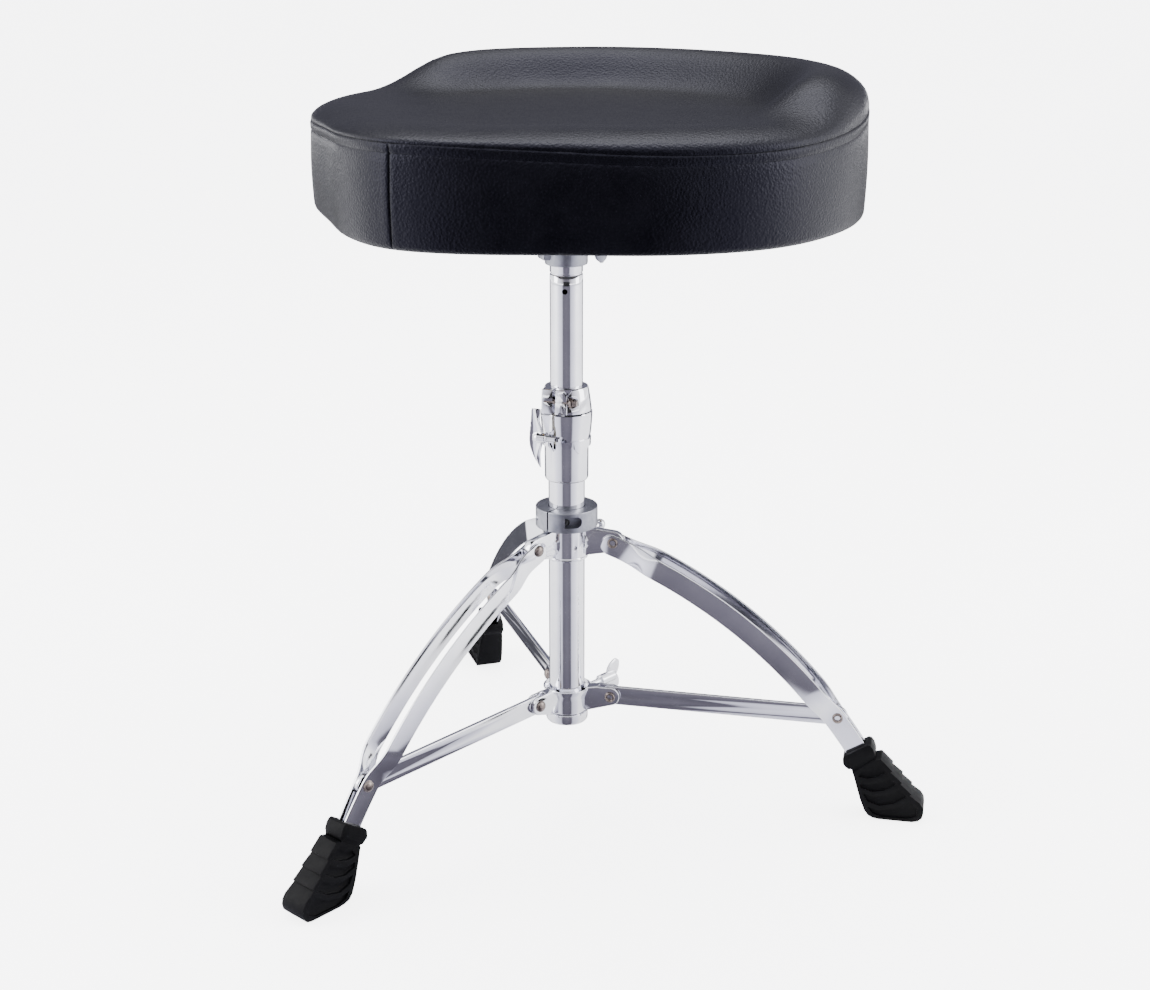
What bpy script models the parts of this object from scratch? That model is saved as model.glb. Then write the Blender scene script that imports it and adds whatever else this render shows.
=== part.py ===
"""Drum throne: saddle seat on a height-adjustable post over a folding three-leg base.

Lengths below are millimetres and angles are degrees; the helpers turn them into Blender's
metres and radians.  +Z is up, the floor is z = 0, and the tube's axis is vertical.
"""
import math

import bmesh
import bpy
from mathutils import Matrix, Vector

MM = 0.001
OBJECT = "drum_throne"

# The tube's axis, placed so that the middle of the whole object's footprint is the origin.
AXIS_X = -40.7
AXIS_Y = -29.3

GAP = 0.3                       # between neighbouring solids
ROUND = 28                      # sides of the tubes and castings
SMALL_ROUND = 12                # sides of rivets and screws

# Column
TUBE_R = 14.3
TUBE_WALL = 1.2
TUBE_LOW, TUBE_HIGH = 62.0, 295.0
POST_R = 12.7
POST_WALL = 2.0
POST_LOW, POST_HIGH = 160.0, 466.0
POST_GROOVE_Z = 427.5
POST_HOLE_Z = 415.0
BORE_R = TUBE_R + GAP
BUSH_R = POST_R + GAP

# Legs: each is a pair of pressed bars along an arc in its own upright plane
LEG_AZIMUTHS = (-12.5, -132.5, 107.5)
HINGE_R, HINGE_Z = 38.0, 215.0          # upper rivet
INNER_R, INNER_Z = 36.6, 82.5           # strut's rivet on the lower hub
OUTER_R, OUTER_Z = 219.5, 82.0          # strut's rivet on the leg
ARC_R, ARC_Z = -100.3, -164.1           # centre of the leg's arc
ARC_RADIUS = 401.0
BAR_HALF = 8.55
BAR_THICK = 2.0
BAR_TOP_ANGLE, BAR_FOOT_ANGLE = 70.0, 29.6
OUTER_RIVET_ANGLE = 37.6
# Half the pair's outside width against the angle along the arc
BAR_SPREAD = ((80.0, 5.5), (67.7, 5.5), (64.9, 12.2), (40.9, 12.2), (38.4, 5.0), (34.0, 4.3), (28.0, 3.5))
STRUT_HALF = 7.7
STRUT_THICK = 3.5

# Hubs, collar and clamps
UPPER_HUB_LOW, UPPER_HUB_HIGH = 199.3, 226.0
LOWER_HUB_LOW, LOWER_HUB_HIGH = 67.7, 88.5
HUB_R = 16.3
CAP_R = 17.0
UPPER_LUG_HALF = 3.2
LOWER_LUG_HALF = 4.9
LOWER_SLOT_HALF = 2.1
BOLT_AZIMUTH = 47.5                     # both hubs' screws, midway between two legs
UPPER_BOLT_Z, LOWER_BOLT_Z = 216.0, 78.0
COLLAR_R = 24.5
COLLAR_LOW, COLLAR_HIGH = 226.3, 242.6
COLLAR_SLIT_AZIMUTH = -127.6
COLLAR_SCREW_R = 19.5
CLAMP_LOW, CLAMP_HIGH = 264.5, 320.0
CLAMP_SLEEVE_R = 17.25
CLAMP_SHOULDER_Z = 292.0
CLAMP_TOP_R = 20.2
CLAMP_BOLT_Z = 301.0
LOCK_LOW, LOCK_HIGH = 320.3, 340.0
LOCK_LOW_R, LOCK_TOP_R = 19.6, 17.0
LOCK_BOLT_Z = 330.0
EAR_AZIMUTH = -108.0                    # the flat face of both clamps looks this way
EAR_FACE = 19.2                         # its distance from the axis
EAR_LEFT, EAR_RIGHT = -14.5, 6.4        # its ends, along the face
SLIT_AT = -4.3                          # the slit's place along the face
SLIT_WIDTH = 2.4
CLAMP_EAR_BOLT_R, LOCK_EAR_BOLT_R = 17.7, 16.2

# Seat: a saddle, symmetrical about the line from its rear to its nose
SEAT_AZIMUTH = 52.0                     # the rear of the seat looks this way
SEAT_LOW = 474.0
COVER_THICK = 1.5
BOARD_LOW, BOARD_HIGH = 475.5, 487.5
RIM_TOP, ROLL_TOP, SEAT_FLAT = 579.0, 552.0, 549.5
RIM_WIDTH, RIM_FOOT = 35.0, 50.0
SEAT_OUTLINE = ((0, 226), (30, 228), (60, 219), (80, 214), (100, 210), (120, 193), (140, 174),
                (160, 185), (180, 199))
SEAT_SIDES = 40

RECEIVER_LOW = 434.0
RECEIVER_R = 16.3
FLANGE_LOW, FLANGE_HIGH = 469.5, 475.2
FLANGE_HALF = 50.0
RECEIVER_BOLT_AT = 36.5
RECEIVER_WING_AZIMUTH = 30.0
RECEIVER_WING_Z = 448.0


# ---------------------------------------------------------------- scene and helpers

for old in list(bpy.data.objects):
    bpy.data.objects.remove(old, do_unlink=True)

PARTS = bpy.data.collections.new(OBJECT)
CUTTERS = bpy.data.collections.new("cutters")
bpy.context.scene.collection.children.link(PARTS)
bpy.context.scene.collection.children.link(CUTTERS)


def material(name, colour, metallic, roughness):
    made = bpy.data.materials.new(name)
    made.use_nodes = True
    shader = made.node_tree.nodes["Principled BSDF"]
    shader.inputs["Base Color"].default_value = (*colour, 1.0)
    shader.inputs["Metallic"].default_value = metallic
    shader.inputs["Roughness"].default_value = roughness
    return made


CHROME = material("chrome_plated_steel", (0.80, 0.80, 0.82), 1.0, 0.12)
SATIN = material("satin_nickel_casting", (0.42, 0.43, 0.47), 1.0, 0.42)
STEEL = material("zinc_plated_steel", (0.55, 0.54, 0.52), 1.0, 0.30)
DARK_STEEL = material("black_oxide_steel", (0.05, 0.05, 0.06), 0.8, 0.45)
RUBBER = material("black_rubber", (0.02, 0.02, 0.02), 0.0, 0.65)
VINYL = material("black_vinyl", (0.015, 0.015, 0.02), 0.0, 0.50)
NYLON = material("white_nylon", (0.75, 0.74, 0.70), 0.0, 0.45)
PLYWOOD = material("birch_plywood", (0.50, 0.34, 0.19), 0.0, 0.60)
FOAM = material("grey_foam", (0.35, 0.35, 0.36), 0.0, 0.95)
LINING = material("black_lining", (0.02, 0.02, 0.02), 0.0, 0.90)


def place(made, collection, finish, parent, at=(0, 0, 0), turn=None):
    """Link an object under a parent, at a place in millimetres, turned by a matrix."""
    collection.objects.link(made)
    if finish:
        made.data.materials.clear()
        made.data.materials.append(finish)
    made.parent = parent
    made.matrix_local = Matrix.Translation(Vector(at) * MM) @ (turn or Matrix.Identity(4))
    return made


def guide(name, parent, at=(0, 0, 0), turn=None):
    """An empty that carries a moving group or a local frame."""
    made = bpy.data.objects.new(name, None)
    return place(made, PARTS, None, parent, at, turn)


def about_z(degrees):
    return Matrix.Rotation(math.radians(degrees), 4, "Z")


def pointing(azimuth):
    """Turn local +Z to look outwards at an azimuth, with local +X pointing up."""
    return about_z(azimuth) @ Matrix.Rotation(math.radians(90), 4, "Y") @ about_z(180)


ACROSS = Matrix.Rotation(math.radians(-90), 4, "X")      # local +Z along the leg frame's +Y


def from_bmesh(name, shape):
    mesh = bpy.data.meshes.new(name)
    shape.to_mesh(mesh)
    shape.free()
    return bpy.data.objects.new(name, mesh)


def smooth(made, angle=35.0):
    made.data.shade_smooth()
    made.data.set_sharp_from_angle(angle=math.radians(angle))
    return made


def turned(name, profile, finish, parent, at=(0, 0, 0), turn=None, sides=ROUND, closed=True,
           collection=None):
    """A profile of (radius, height), listed down its outer side, turned about local Z."""
    mesh = bpy.data.meshes.new(name)
    points = [(radius * MM, 0.0, height * MM) for radius, height in profile]
    edges = [(i, i + 1) for i in range(len(points) - 1)]
    if closed:
        edges.append((len(points) - 1, 0))
    mesh.from_pydata(points, edges, [])
    made = bpy.data.objects.new(name, mesh)
    screw = made.modifiers.new("turn", "SCREW")
    screw.steps = screw.render_steps = sides
    screw.use_merge_vertices = True
    screw.merge_threshold = 0.00001
    screw.use_smooth_shade = True
    return place(made, collection or PARTS, finish, parent, at, turn)


def ring_profile(outer, inner, low, high, chamfer=0.0):
    """A plain sleeve's section, with its two outer edges chamfered."""
    return [(outer - chamfer, high), (outer, high - chamfer), (outer, low + chamfer),
            (outer - chamfer, low), (inner, low), (inner, high)] if chamfer else \
        [(outer, high), (outer, low), (inner, low), (inner, high)]


def plate(name, points, half, finish, parent, at=(0, 0, 0), turn=None, collection=None):
    """A flat outline in local XY, thickened both ways along local Z and made a mesh."""
    curve = bpy.data.curves.new(name, "CURVE")
    curve.dimensions = "2D"
    curve.fill_mode = "BOTH"
    curve.extrude = half * MM
    spline = curve.splines.new("POLY")
    spline.points.add(len(points) - 1)
    for point, (x, y) in zip(spline.points, points):
        point.co = (x * MM, y * MM, 0.0, 1.0)
    spline.use_cyclic_u = True
    drawn = bpy.data.objects.new(name + "_outline", curve)
    CUTTERS.objects.link(drawn)
    mesh = bpy.data.meshes.new_from_object(drawn.evaluated_get(bpy.context.evaluated_depsgraph_get()))
    bpy.data.objects.remove(drawn, do_unlink=True)
    bpy.data.curves.remove(curve)
    shape = bmesh.new()
    shape.from_mesh(mesh)
    bpy.data.meshes.remove(mesh)
    bmesh.ops.remove_doubles(shape, verts=shape.verts, dist=0.000001)
    bmesh.ops.recalc_face_normals(shape, faces=shape.faces)
    return place(from_bmesh(name, shape), collection or PARTS, finish, parent, at, turn)


def block(name, low, high, parent, at=(0, 0, 0), turn=None):
    """A box between two corners, used for cutting and joining."""
    shape = bmesh.new()
    bmesh.ops.create_cube(shape, size=1.0)
    for vert in shape.verts:
        for i in range(3):
            vert.co[i] = (low[i] if vert.co[i] < 0 else high[i]) * MM
    return place(from_bmesh(name, shape), CUTTERS, None, parent, at, turn)


def rod(name, radius, low, high, parent, at=(0, 0, 0), turn=None, sides=SMALL_ROUND):
    """A cylinder along local Z, used for cutting and joining."""
    shape = bmesh.new()
    bmesh.ops.create_cone(shape, cap_ends=True, segments=sides, radius1=radius * MM,
                          radius2=radius * MM, depth=(high - low) * MM)
    bmesh.ops.translate(shape, verts=shape.verts, vec=(0, 0, (high + low) / 2 * MM))
    return place(from_bmesh(name, shape), CUTTERS, None, parent, at, turn)


def combine(made, other, operation="DIFFERENCE"):
    """Cut another object out of this one, or join it on."""
    other.hide_render = True
    other.display_type = "WIRE"
    boolean = made.modifiers.new(other.name, "BOOLEAN")
    boolean.operation = operation
    boolean.object = other
    return made


def arc_points(x, y, radius, start, stop, steps):
    """Points along an arc, from one angle to another."""
    angles = [math.radians(start + (stop - start) * i / steps) for i in range(steps + 1)]
    return [(x + radius * math.cos(a), y + radius * math.sin(a)) for a in angles]


def between(table, at):
    """Straight-line reading of a table of (place, value) whose places rise or fall."""
    rows = sorted(table)
    for (a, low), (b, high) in zip(rows, rows[1:]):
        if a <= at <= b:
            return low + (high - low) * (at - a) / (b - a)
    return rows[0][1] if at < rows[0][0] else rows[-1][1]


AXIS = guide("throne_axis", None, (AXIS_X, AXIS_Y, 0))


# ---------------------------------------------------------------- column

def make_column():
    inner = TUBE_R - TUBE_WALL
    turned("base_tube", ring_profile(TUBE_R, inner, TUBE_LOW, TUBE_HIGH, 0.4), CHROME, AXIS)
    # chrome cap whose plug stands inside the tube and whose rim carries the lower hub
    cap = [(0, 76.0), (inner - GAP, 76.0), (inner - GAP, TUBE_LOW - GAP), (TUBE_R + 0.6, TUBE_LOW - GAP),
           (TUBE_R + 0.6, 67.2), (CAP_R - 0.6, 67.2), (CAP_R, 66.6), (CAP_R, 60.5), (CAP_R - 1.7, 58.2),
           (0, 58.2)]
    turned("end_cap", cap, CHROME, AXIS, closed=False)


def make_post():
    post = guide("post_guide", AXIS)
    inner = POST_R - POST_WALL
    profile = [(POST_R - 1.0, POST_HIGH), (POST_R, POST_HIGH - 1.0), (POST_R, POST_GROOVE_Z + 1.0),
               (POST_R - 0.5, POST_GROOVE_Z + 0.5), (POST_R - 0.5, POST_GROOVE_Z - 0.5),
               (POST_R, POST_GROOVE_Z - 1.0), (POST_R, POST_LOW), (inner, POST_LOW), (inner, POST_HIGH)]
    made = turned("seat_post", profile, CHROME, post)
    combine(made, rod("post_hole", 2.15, 5.0, 20.0, post, (-1.2, 0, POST_HOLE_Z), pointing(-90)))
    return post


# ---------------------------------------------------------------- legs

def on_arc(angle, radius):
    a = math.radians(angle)
    return ARC_R + radius * math.cos(a), ARC_Z + radius * math.sin(a)


def leg_strip(name, stations, side, thick, finish, parent, collection=None):
    """A strip along the leg's arc: stations are (angle, half height, place across)."""
    shape = bmesh.new()
    bmesh.ops.create_grid(shape, x_segments=len(stations) - 1, y_segments=1, size=1.0)
    for vert in shape.verts:
        row = round((vert.co.x + 1.0) / 2.0 * (len(stations) - 1))
        angle, half, across = stations[row]
        r, z = on_arc(angle, ARC_RADIUS + (half if vert.co.y > 0 else -half))
        vert.co = Vector((r - HINGE_R, side * across, z - HINGE_Z)) * MM
    if side < 0:
        bmesh.ops.reverse_faces(shape, faces=shape.faces)
    made = from_bmesh(name, shape)
    solid = made.modifiers.new("thickness", "SOLIDIFY")
    solid.thickness = thick * MM
    solid.offset = 0.0
    return place(made, collection or PARTS, finish, parent)


def bar_stations():
    """Down the arc from the rounded end over the hinge rivet to the end inside the foot."""
    degree = math.degrees(1.0 / ARC_RADIUS)
    rows = []
    for k in (80, 60, 40, 20):
        a = math.radians(k)
        rows.append((BAR_TOP_ANGLE + BAR_HALF * math.sin(a) * degree, BAR_HALF * math.cos(a)))
    angles = [70.0, 67.7, 64.9, 62.0, 59.0, 56.0, 53.0, 50.0, 47.0, 44.0, 40.9, 38.4, 36.2, 34.0, 31.8,
              BAR_FOOT_ANGLE]
    rows += [(angle, BAR_HALF) for angle in angles]
    return [(angle, half, between(BAR_SPREAD, angle) - BAR_THICK / 2) for angle, half in rows]


def rivet_profile(low, high, dome, roll):
    """A rivet along +Z: a shank from low to high, a dome above it and a rolled end below."""
    shank = 2.4
    profile = []
    if dome:
        profile += [(4.5 * math.sin(math.radians(a)), high + 3.0 * math.cos(math.radians(a)))
                    for a in (0, 25, 50, 72)] + [(4.5, high + 0.2), (4.5, high)]
    else:
        profile += [(0, high)]
    profile += [(shank, high), (shank, low)]
    if roll:
        profile += [(3.7, low), (4.15, low - 0.6), (3.7, low - 1.6), (2.9, low - 1.8), (2.3, low - 1.2),
                    (2.3, low + 1.0), (0, low + 1.0)]
    else:
        profile += [(0, low)]
    return profile


FOOT_OUTLINE = (
    (244.9, 62.6), (247.6, 61.2), (249.6, 56.8), (250.9, 53.0), (252.0, 50.6), (255.4, 51.2),
    (257.0, 48.2), (289.2, 16.0), (290.0, 8.0), (287.6, 2.4), (282.0, 0.0), (256.0, 0.0),
    (249.0, 2.2), (244.6, 7.0), (240.4, 16.6), (235.2, 33.0), (233.8, 38.6), (230.6, 40.0),
    (227.2, 42.0), (225.2, 46.0), (225.4, 50.4), (228.2, 52.2))


def make_foot(name, pivot):
    """A rubber boot: its side outline, thicker towards the sole, with a pocket for the bars."""
    outline = [(r - HINGE_R, z - HINGE_Z) for r, z in FOOT_OUTLINE]
    made = plate(name, outline, 12.0, RUBBER, pivot, turn=Matrix.Rotation(math.radians(90), 4, "X"))
    floor, top = -HINGE_Z * MM, (60.0 - HINGE_Z) * MM
    for vert in made.data.vertices:
        vert.co.z *= 1.0 - 0.27 * (vert.co.y - floor) / (top - floor)
    bevel = made.modifiers.new("edges", "BEVEL")
    bevel.width = 1.6 * MM
    bevel.segments = 2
    bevel.limit_method = "ANGLE"
    bevel.angle_limit = math.radians(60)
    rows = [(angle, BAR_HALF + GAP, 0.0) for angle in (36.0, 34.0, 32.0, 30.5, BAR_FOOT_ANGLE - 0.1)]
    pocket = leg_strip(name + "_pocket", rows, 1, 2 * (4.4 + GAP), None, pivot, CUTTERS)
    return combine(made, pocket)


def make_leg(number, azimuth):
    frame = guide(f"leg_{number}_frame", AXIS, turn=about_z(azimuth))
    pivot = guide(f"leg_{number}_pivot", frame, (HINGE_R, 0, HINGE_Z))
    outer_r, outer_z = OUTER_R - HINGE_R, OUTER_Z - HINGE_Z
    spread = between(BAR_SPREAD, OUTER_RIVET_ANGLE)
    for side, word in ((1, "left"), (-1, "right")):
        bar = leg_strip(f"leg_{number}_{word}_bar", bar_stations(), side, BAR_THICK, CHROME, pivot)
        for label, r, z in (("hinge", 0, 0), ("strut", outer_r, outer_z)):
            combine(bar, rod(f"leg_{number}_{word}_{label}_hole", 2.4 + GAP, -20, 20, pivot, (r, 0, z),
                             ACROSS))
    top = between(BAR_SPREAD, BAR_TOP_ANGLE) + GAP
    turned(f"leg_{number}_hinge_rivet", rivet_profile(-top, top, True, True), STEEL, pivot,
           turn=ACROSS, sides=SMALL_ROUND, closed=False)
    face, back = spread + GAP, spread - BAR_THICK
    turned(f"leg_{number}_strut_rivet_dome", rivet_profile(back, face, True, False), STEEL, pivot,
           (outer_r, 0, outer_z), ACROSS, SMALL_ROUND, False)
    turned(f"leg_{number}_strut_rivet_tail", rivet_profile(-face, -back, False, True), STEEL, pivot,
           (outer_r, 0, outer_z), ACROSS, SMALL_ROUND, False)
    make_foot(f"leg_{number}_foot", pivot)


def make_strut(number, azimuth):
    frame = guide(f"strut_{number}_frame", AXIS, turn=about_z(azimuth))
    pivot = guide(f"strut_{number}_pivot", frame, (INNER_R, 0, INNER_Z))
    length = math.hypot(OUTER_R - INNER_R, OUTER_Z - INNER_Z)
    slope = math.degrees(math.atan2(OUTER_Z - INNER_Z, OUTER_R - INNER_R))
    lying = Matrix.Rotation(math.radians(-slope), 4, "Y") @ Matrix.Rotation(math.radians(90), 4, "X")
    outline = arc_points(length, 0, STRUT_HALF, -90, 90, 8) + arc_points(0, 0, STRUT_HALF, 90, 270, 8)
    strut = plate(f"strut_{number}", outline, STRUT_THICK / 2, CHROME, pivot, turn=lying)
    for label, x in (("inner", 0), ("outer", length)):
        combine(strut, rod(f"strut_{number}_{label}_hole", 2.4 + GAP, -10, 10, pivot, turn=lying @
                           Matrix.Translation((x * MM, 0, 0))))


# ---------------------------------------------------------------- hubs, collar, clamps

def lug_outline(inner, low, high, eye_r, eye_z, radius):
    """A lug's side view: straight from the barrel to the round eye at the rivet."""
    return [(inner, high), (inner, low)] + arc_points(eye_r, eye_z, radius, -75, 80, 8)


def make_upper_hub():
    profile = [(HUB_R - 0.5, UPPER_HUB_HIGH), (HUB_R, UPPER_HUB_HIGH - 0.8), (HUB_R, UPPER_HUB_LOW + 1.0),
               (HUB_R - 0.8, UPPER_HUB_LOW), (BORE_R, UPPER_HUB_LOW), (BORE_R, UPPER_HUB_HIGH)]
    hub = turned("upper_hub", profile, CHROME, AXIS)
    outline = lug_outline(15.3, UPPER_HUB_LOW + 1.5, UPPER_HUB_HIGH - 1.0, HINGE_R, HINGE_Z, 8.2)
    for number, azimuth in enumerate(LEG_AZIMUTHS, 1):
        upright = about_z(azimuth) @ Matrix.Rotation(math.radians(90), 4, "X")
        combine(hub, plate(f"upper_lug_{number}", outline, UPPER_LUG_HALF, None, AXIS, turn=upright,
                           collection=CUTTERS), "UNION")
        hole = about_z(azimuth) @ Matrix.Translation(Vector((HINGE_R, 0, HINGE_Z)) * MM) @ ACROSS
        combine(hub, rod(f"upper_lug_hole_{number}", 2.4 + GAP, -8, 8, AXIS, turn=hole))
    boss = rod("upper_boss", 5.5, 15.3, 24.0, AXIS, (0, 0, UPPER_BOLT_Z), pointing(BOLT_AZIMUTH))
    combine(hub, boss, "UNION")
    combine(hub, rod("upper_boss_hole", 2.5 + GAP, 10, 30, AXIS, (0, 0, UPPER_BOLT_Z),
                     pointing(BOLT_AZIMUTH)))
    combine(hub, rod("upper_peep_hole", 2.0, 10, 20, AXIS, (0, 0, 211.0), pointing(-66)))
    bolt = [(0, 43.5), (2.4, 43.0), (4.0, 41.4), (4.6, 39.4), (4.6, 38.2), (3.4, 37.6), (2.5, 37.6),
            (2.5, 15.0), (0, 15.0)]
    turned("upper_hub_bolt", bolt, CHROME, AXIS, (0, 0, UPPER_BOLT_Z), pointing(BOLT_AZIMUTH),
           SMALL_ROUND, False)


def make_lower_hub(hub_guide):
    profile = [(19.2, LOWER_HUB_HIGH), (HUB_R, LOWER_HUB_HIGH - 8.0), (HUB_R, LOWER_HUB_LOW + 0.8),
               (HUB_R - 0.8, LOWER_HUB_LOW), (BORE_R, LOWER_HUB_LOW), (BORE_R, LOWER_HUB_HIGH - 8.0),
               (17.6, LOWER_HUB_HIGH)]
    hub = turned("lower_hub", profile, CHROME, hub_guide)
    outline = lug_outline(15.4, LOWER_HUB_LOW + 1.0, 80.0, INNER_R, INNER_Z, 7.6)
    outline += [(INNER_R - 6.0, 90.1), (18.0, 87.6)]
    span = LOWER_LUG_HALF + GAP
    for number, azimuth in enumerate(LEG_AZIMUTHS, 1):
        upright = about_z(azimuth) @ Matrix.Rotation(math.radians(90), 4, "X")
        lug = plate(f"lower_lug_{number}", outline, LOWER_LUG_HALF, None, hub_guide, turn=upright,
                    collection=CUTTERS)
        combine(hub, lug, "UNION")
        combine(hub, block(f"lower_slot_{number}", (27.0, -LOWER_SLOT_HALF, 60), (60, LOWER_SLOT_HALF, 100),
                           hub_guide, turn=about_z(azimuth)))
        eye = about_z(azimuth) @ Matrix.Translation(Vector((INNER_R, 0, INNER_Z)) * MM) @ ACROSS
        combine(hub, rod(f"lower_lug_hole_{number}", 2.4 + GAP, -9, 9, hub_guide, turn=eye))
        turned(f"strut_{number}_inner_rivet", rivet_profile(-span, span, True, True), STEEL, hub_guide,
               turn=eye, sides=SMALL_ROUND, closed=False)
    boss = rod("lower_boss", 6.0, 15.4, 26.0, hub_guide, (0, 0, LOWER_BOLT_Z), pointing(BOLT_AZIMUTH))
    combine(hub, boss, "UNION")
    combine(hub, rod("lower_boss_hole", 2.5 + GAP, 10, 40, hub_guide, (0, 0, LOWER_BOLT_Z),
                     pointing(BOLT_AZIMUTH)))


def wing_screw(name, finish, parent, at, turn, shank, hub, wing):
    """A wing screw along local +Z, its wings along local X.

    shank is (radius, start), hub is (radius, start, end), and wing is (reach, width, half thickness).
    """
    pivot = guide(name + "_pivot", parent, at, turn)
    shank_r, start = shank
    hub_r, low, high = hub
    reach, width, half = wing
    profile = [(0, high), (hub_r * 0.7, high), (hub_r, high - 1.2), (hub_r, low), (shank_r, low),
               (shank_r, start), (0, start)]
    made = turned(name, profile, finish, pivot, sides=SMALL_ROUND, closed=False)
    base = high - 2.0
    leaf = [(-reach, base + 0.30 * width), (-0.86 * reach, base - 0.12 * width),
            (-0.45 * reach, base - 0.35 * width), (0, base - 0.35 * width)]
    leaf += [(-x, y) for x, y in reversed(leaf[:-1])]
    back = [(-0.95 * reach, base + 0.62 * width), (-0.72 * reach, base + 0.75 * width),
            (-0.40 * reach, base + 0.45 * width), (0, base + 0.10 * width)]
    leaf += [(-x, y) for x, y in back[:-1]] + list(reversed(back))
    upright = Matrix.Rotation(math.radians(90), 4, "X")
    combine(made, plate(name + "_wings", leaf, half, None, pivot, turn=upright, collection=CUTTERS), "UNION")
    return made


def make_collar():
    collar = turned("stop_collar", ring_profile(COLLAR_R, BORE_R, COLLAR_LOW, COLLAR_HIGH, 0.5), SATIN, AXIS)
    middle = (COLLAR_LOW + COLLAR_HIGH) / 2
    along = about_z(COLLAR_SLIT_AZIMUTH)
    combine(collar, block("collar_slit", (10, -0.8, 200), (40, 0.8, 260), AXIS, turn=along))
    # local Z of the screw points along the slit's normal, towards the pocket
    axis = along @ Matrix.Translation(Vector((COLLAR_SCREW_R, 0, middle)) * MM) @ ACROSS
    combine(collar, rod("collar_screw_hole", 2.0 + GAP, -25, 12, AXIS, turn=axis))
    combine(collar, rod("collar_pocket", 4.0, 5.0, 30, AXIS, turn=axis))
    head = [(0, 8.6), (1.7, 8.6), (1.7, 11.6), (3.2, 11.6), (3.6, 11.2), (3.6, 5.0 + GAP), (2.0, 5.0 + GAP),
            (2.0, -9.0), (0, -9.0)]
    turned("stop_collar_screw", head, DARK_STEEL, AXIS, turn=axis, sides=SMALL_ROUND, closed=False)


def ear_block(name, low, high, face_low, face_high, parent):
    """The flat-faced block that both split clamps carry over their slits."""
    made = block(name, (6.0, EAR_LEFT, low), (1.0, EAR_RIGHT, high), parent, turn=about_z(EAR_AZIMUTH))
    for vert in made.data.vertices:
        if vert.co.x < 5.0 * MM:
            vert.co.x = (face_low if vert.co.z < (low + high) / 2 * MM else face_high) * MM
    return made


def make_clamp():
    profile = [(CLAMP_TOP_R - 0.4, CLAMP_HIGH), (CLAMP_TOP_R, CLAMP_HIGH - 0.5),
               (CLAMP_SLEEVE_R + 0.9, CLAMP_SHOULDER_Z + 4), (CLAMP_SLEEVE_R, CLAMP_SHOULDER_Z),
               (CLAMP_SLEEVE_R, CLAMP_LOW + 2.4), (CLAMP_SLEEVE_R - 0.8, CLAMP_LOW + 0.8),
               (CLAMP_SLEEVE_R - 2.0, CLAMP_LOW), (BORE_R, CLAMP_LOW), (BORE_R, CLAMP_HIGH)]
    clamp = turned("height_clamp", profile, CHROME, AXIS)
    ears = ear_block("clamp_ears", CLAMP_SHOULDER_Z - 3, CLAMP_HIGH - 0.2, CLAMP_SLEEVE_R - 1.5, EAR_FACE,
                     AXIS)
    for vert in ears.data.vertices:
        if vert.co.z < CLAMP_BOLT_Z * MM:
            vert.co.y *= 0.62
    combine(clamp, ears, "UNION")
    combine(clamp, rod("clamp_bore", BORE_R, 200, 400, AXIS, sides=ROUND))
    turn = about_z(EAR_AZIMUTH)
    combine(clamp, block("clamp_slit", (8, SLIT_AT - SLIT_WIDTH / 2, 280),
                         (40, SLIT_AT + SLIT_WIDTH / 2, 340), AXIS, turn=turn))
    bolt_at = Matrix.Translation(Vector((CLAMP_EAR_BOLT_R, SLIT_AT, CLAMP_BOLT_Z)) * MM)
    axis = turn @ bolt_at @ Matrix.Rotation(math.radians(90), 4, "X")
    combine(clamp, rod("clamp_bolt_hole", 2.3 + GAP, -12, 30, AXIS, turn=axis))
    combine(clamp, rod("clamp_bolt_pocket", 4.6, 5.2, 30, AXIS, turn=axis))
    combine(clamp, block("clamp_window", (16.2, SLIT_AT - 3.4, CLAMP_BOLT_Z - 12),
                         (40, SLIT_AT + 2.6, CLAMP_BOLT_Z + 9), AXIS, turn=turn))
    turned("clamp_bush", ring_profile(TUBE_R, BUSH_R, TUBE_HIGH + GAP, CLAMP_HIGH - 0.6), NYLON, AXIS)
    wing_screw("height_wing_screw", CHROME, AXIS, (0, 0, 0), axis @ about_z(90), (2.3, -10.0),
               (4.3, 5.6, 18.4), (22.5, 6.0, 1.6))


def make_lock(post):
    """The split memory collar that rests on the height clamp."""
    profile = [(LOCK_TOP_R - 0.5, LOCK_HIGH), (LOCK_TOP_R, LOCK_HIGH - 0.5), (LOCK_LOW_R, LOCK_LOW + 1.5),
               (LOCK_LOW_R, LOCK_LOW), (BUSH_R, LOCK_LOW), (BUSH_R, LOCK_HIGH)]
    lock = turned("memory_lock", profile, CHROME, post)
    ears = ear_block("lock_ears", LOCK_LOW + 0.2, LOCK_HIGH - 0.2, EAR_FACE, LOCK_TOP_R + 0.8, post)
    combine(lock, ears, "UNION")
    combine(lock, rod("lock_bore", BUSH_R, 300, 360, post, sides=ROUND))
    turn = about_z(EAR_AZIMUTH)
    combine(lock, block("lock_slit", (8, SLIT_AT - SLIT_WIDTH / 2, 310), (40, SLIT_AT + SLIT_WIDTH / 2, 350),
                        post, turn=turn))
    axis = turn @ Matrix.Translation(Vector((LOCK_EAR_BOLT_R, SLIT_AT, LOCK_BOLT_Z)) * MM) @ ACROSS
    combine(lock, rod("lock_bolt_hole", 1.9 + GAP, -8.5, 14, post, turn=axis))
    combine(lock, rod("lock_bolt_pocket", 4.4, 12.2, 40, post, turn=axis))
    shank = [(0, 14.2), (3.9, 14.2), (3.9, 12.6), (1.9, 12.6), (1.9, -8.0), (0, -8.0)]
    bolt = turned("memory_lock_bolt", shank, STEEL, post, turn=axis, sides=SMALL_ROUND, closed=False)
    head = block("lock_bolt_head", (-2.3, -2.3, 14.0), (2.3, 2.3, 18.4), post, turn=axis)
    combine(bolt, head, "UNION")


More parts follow.
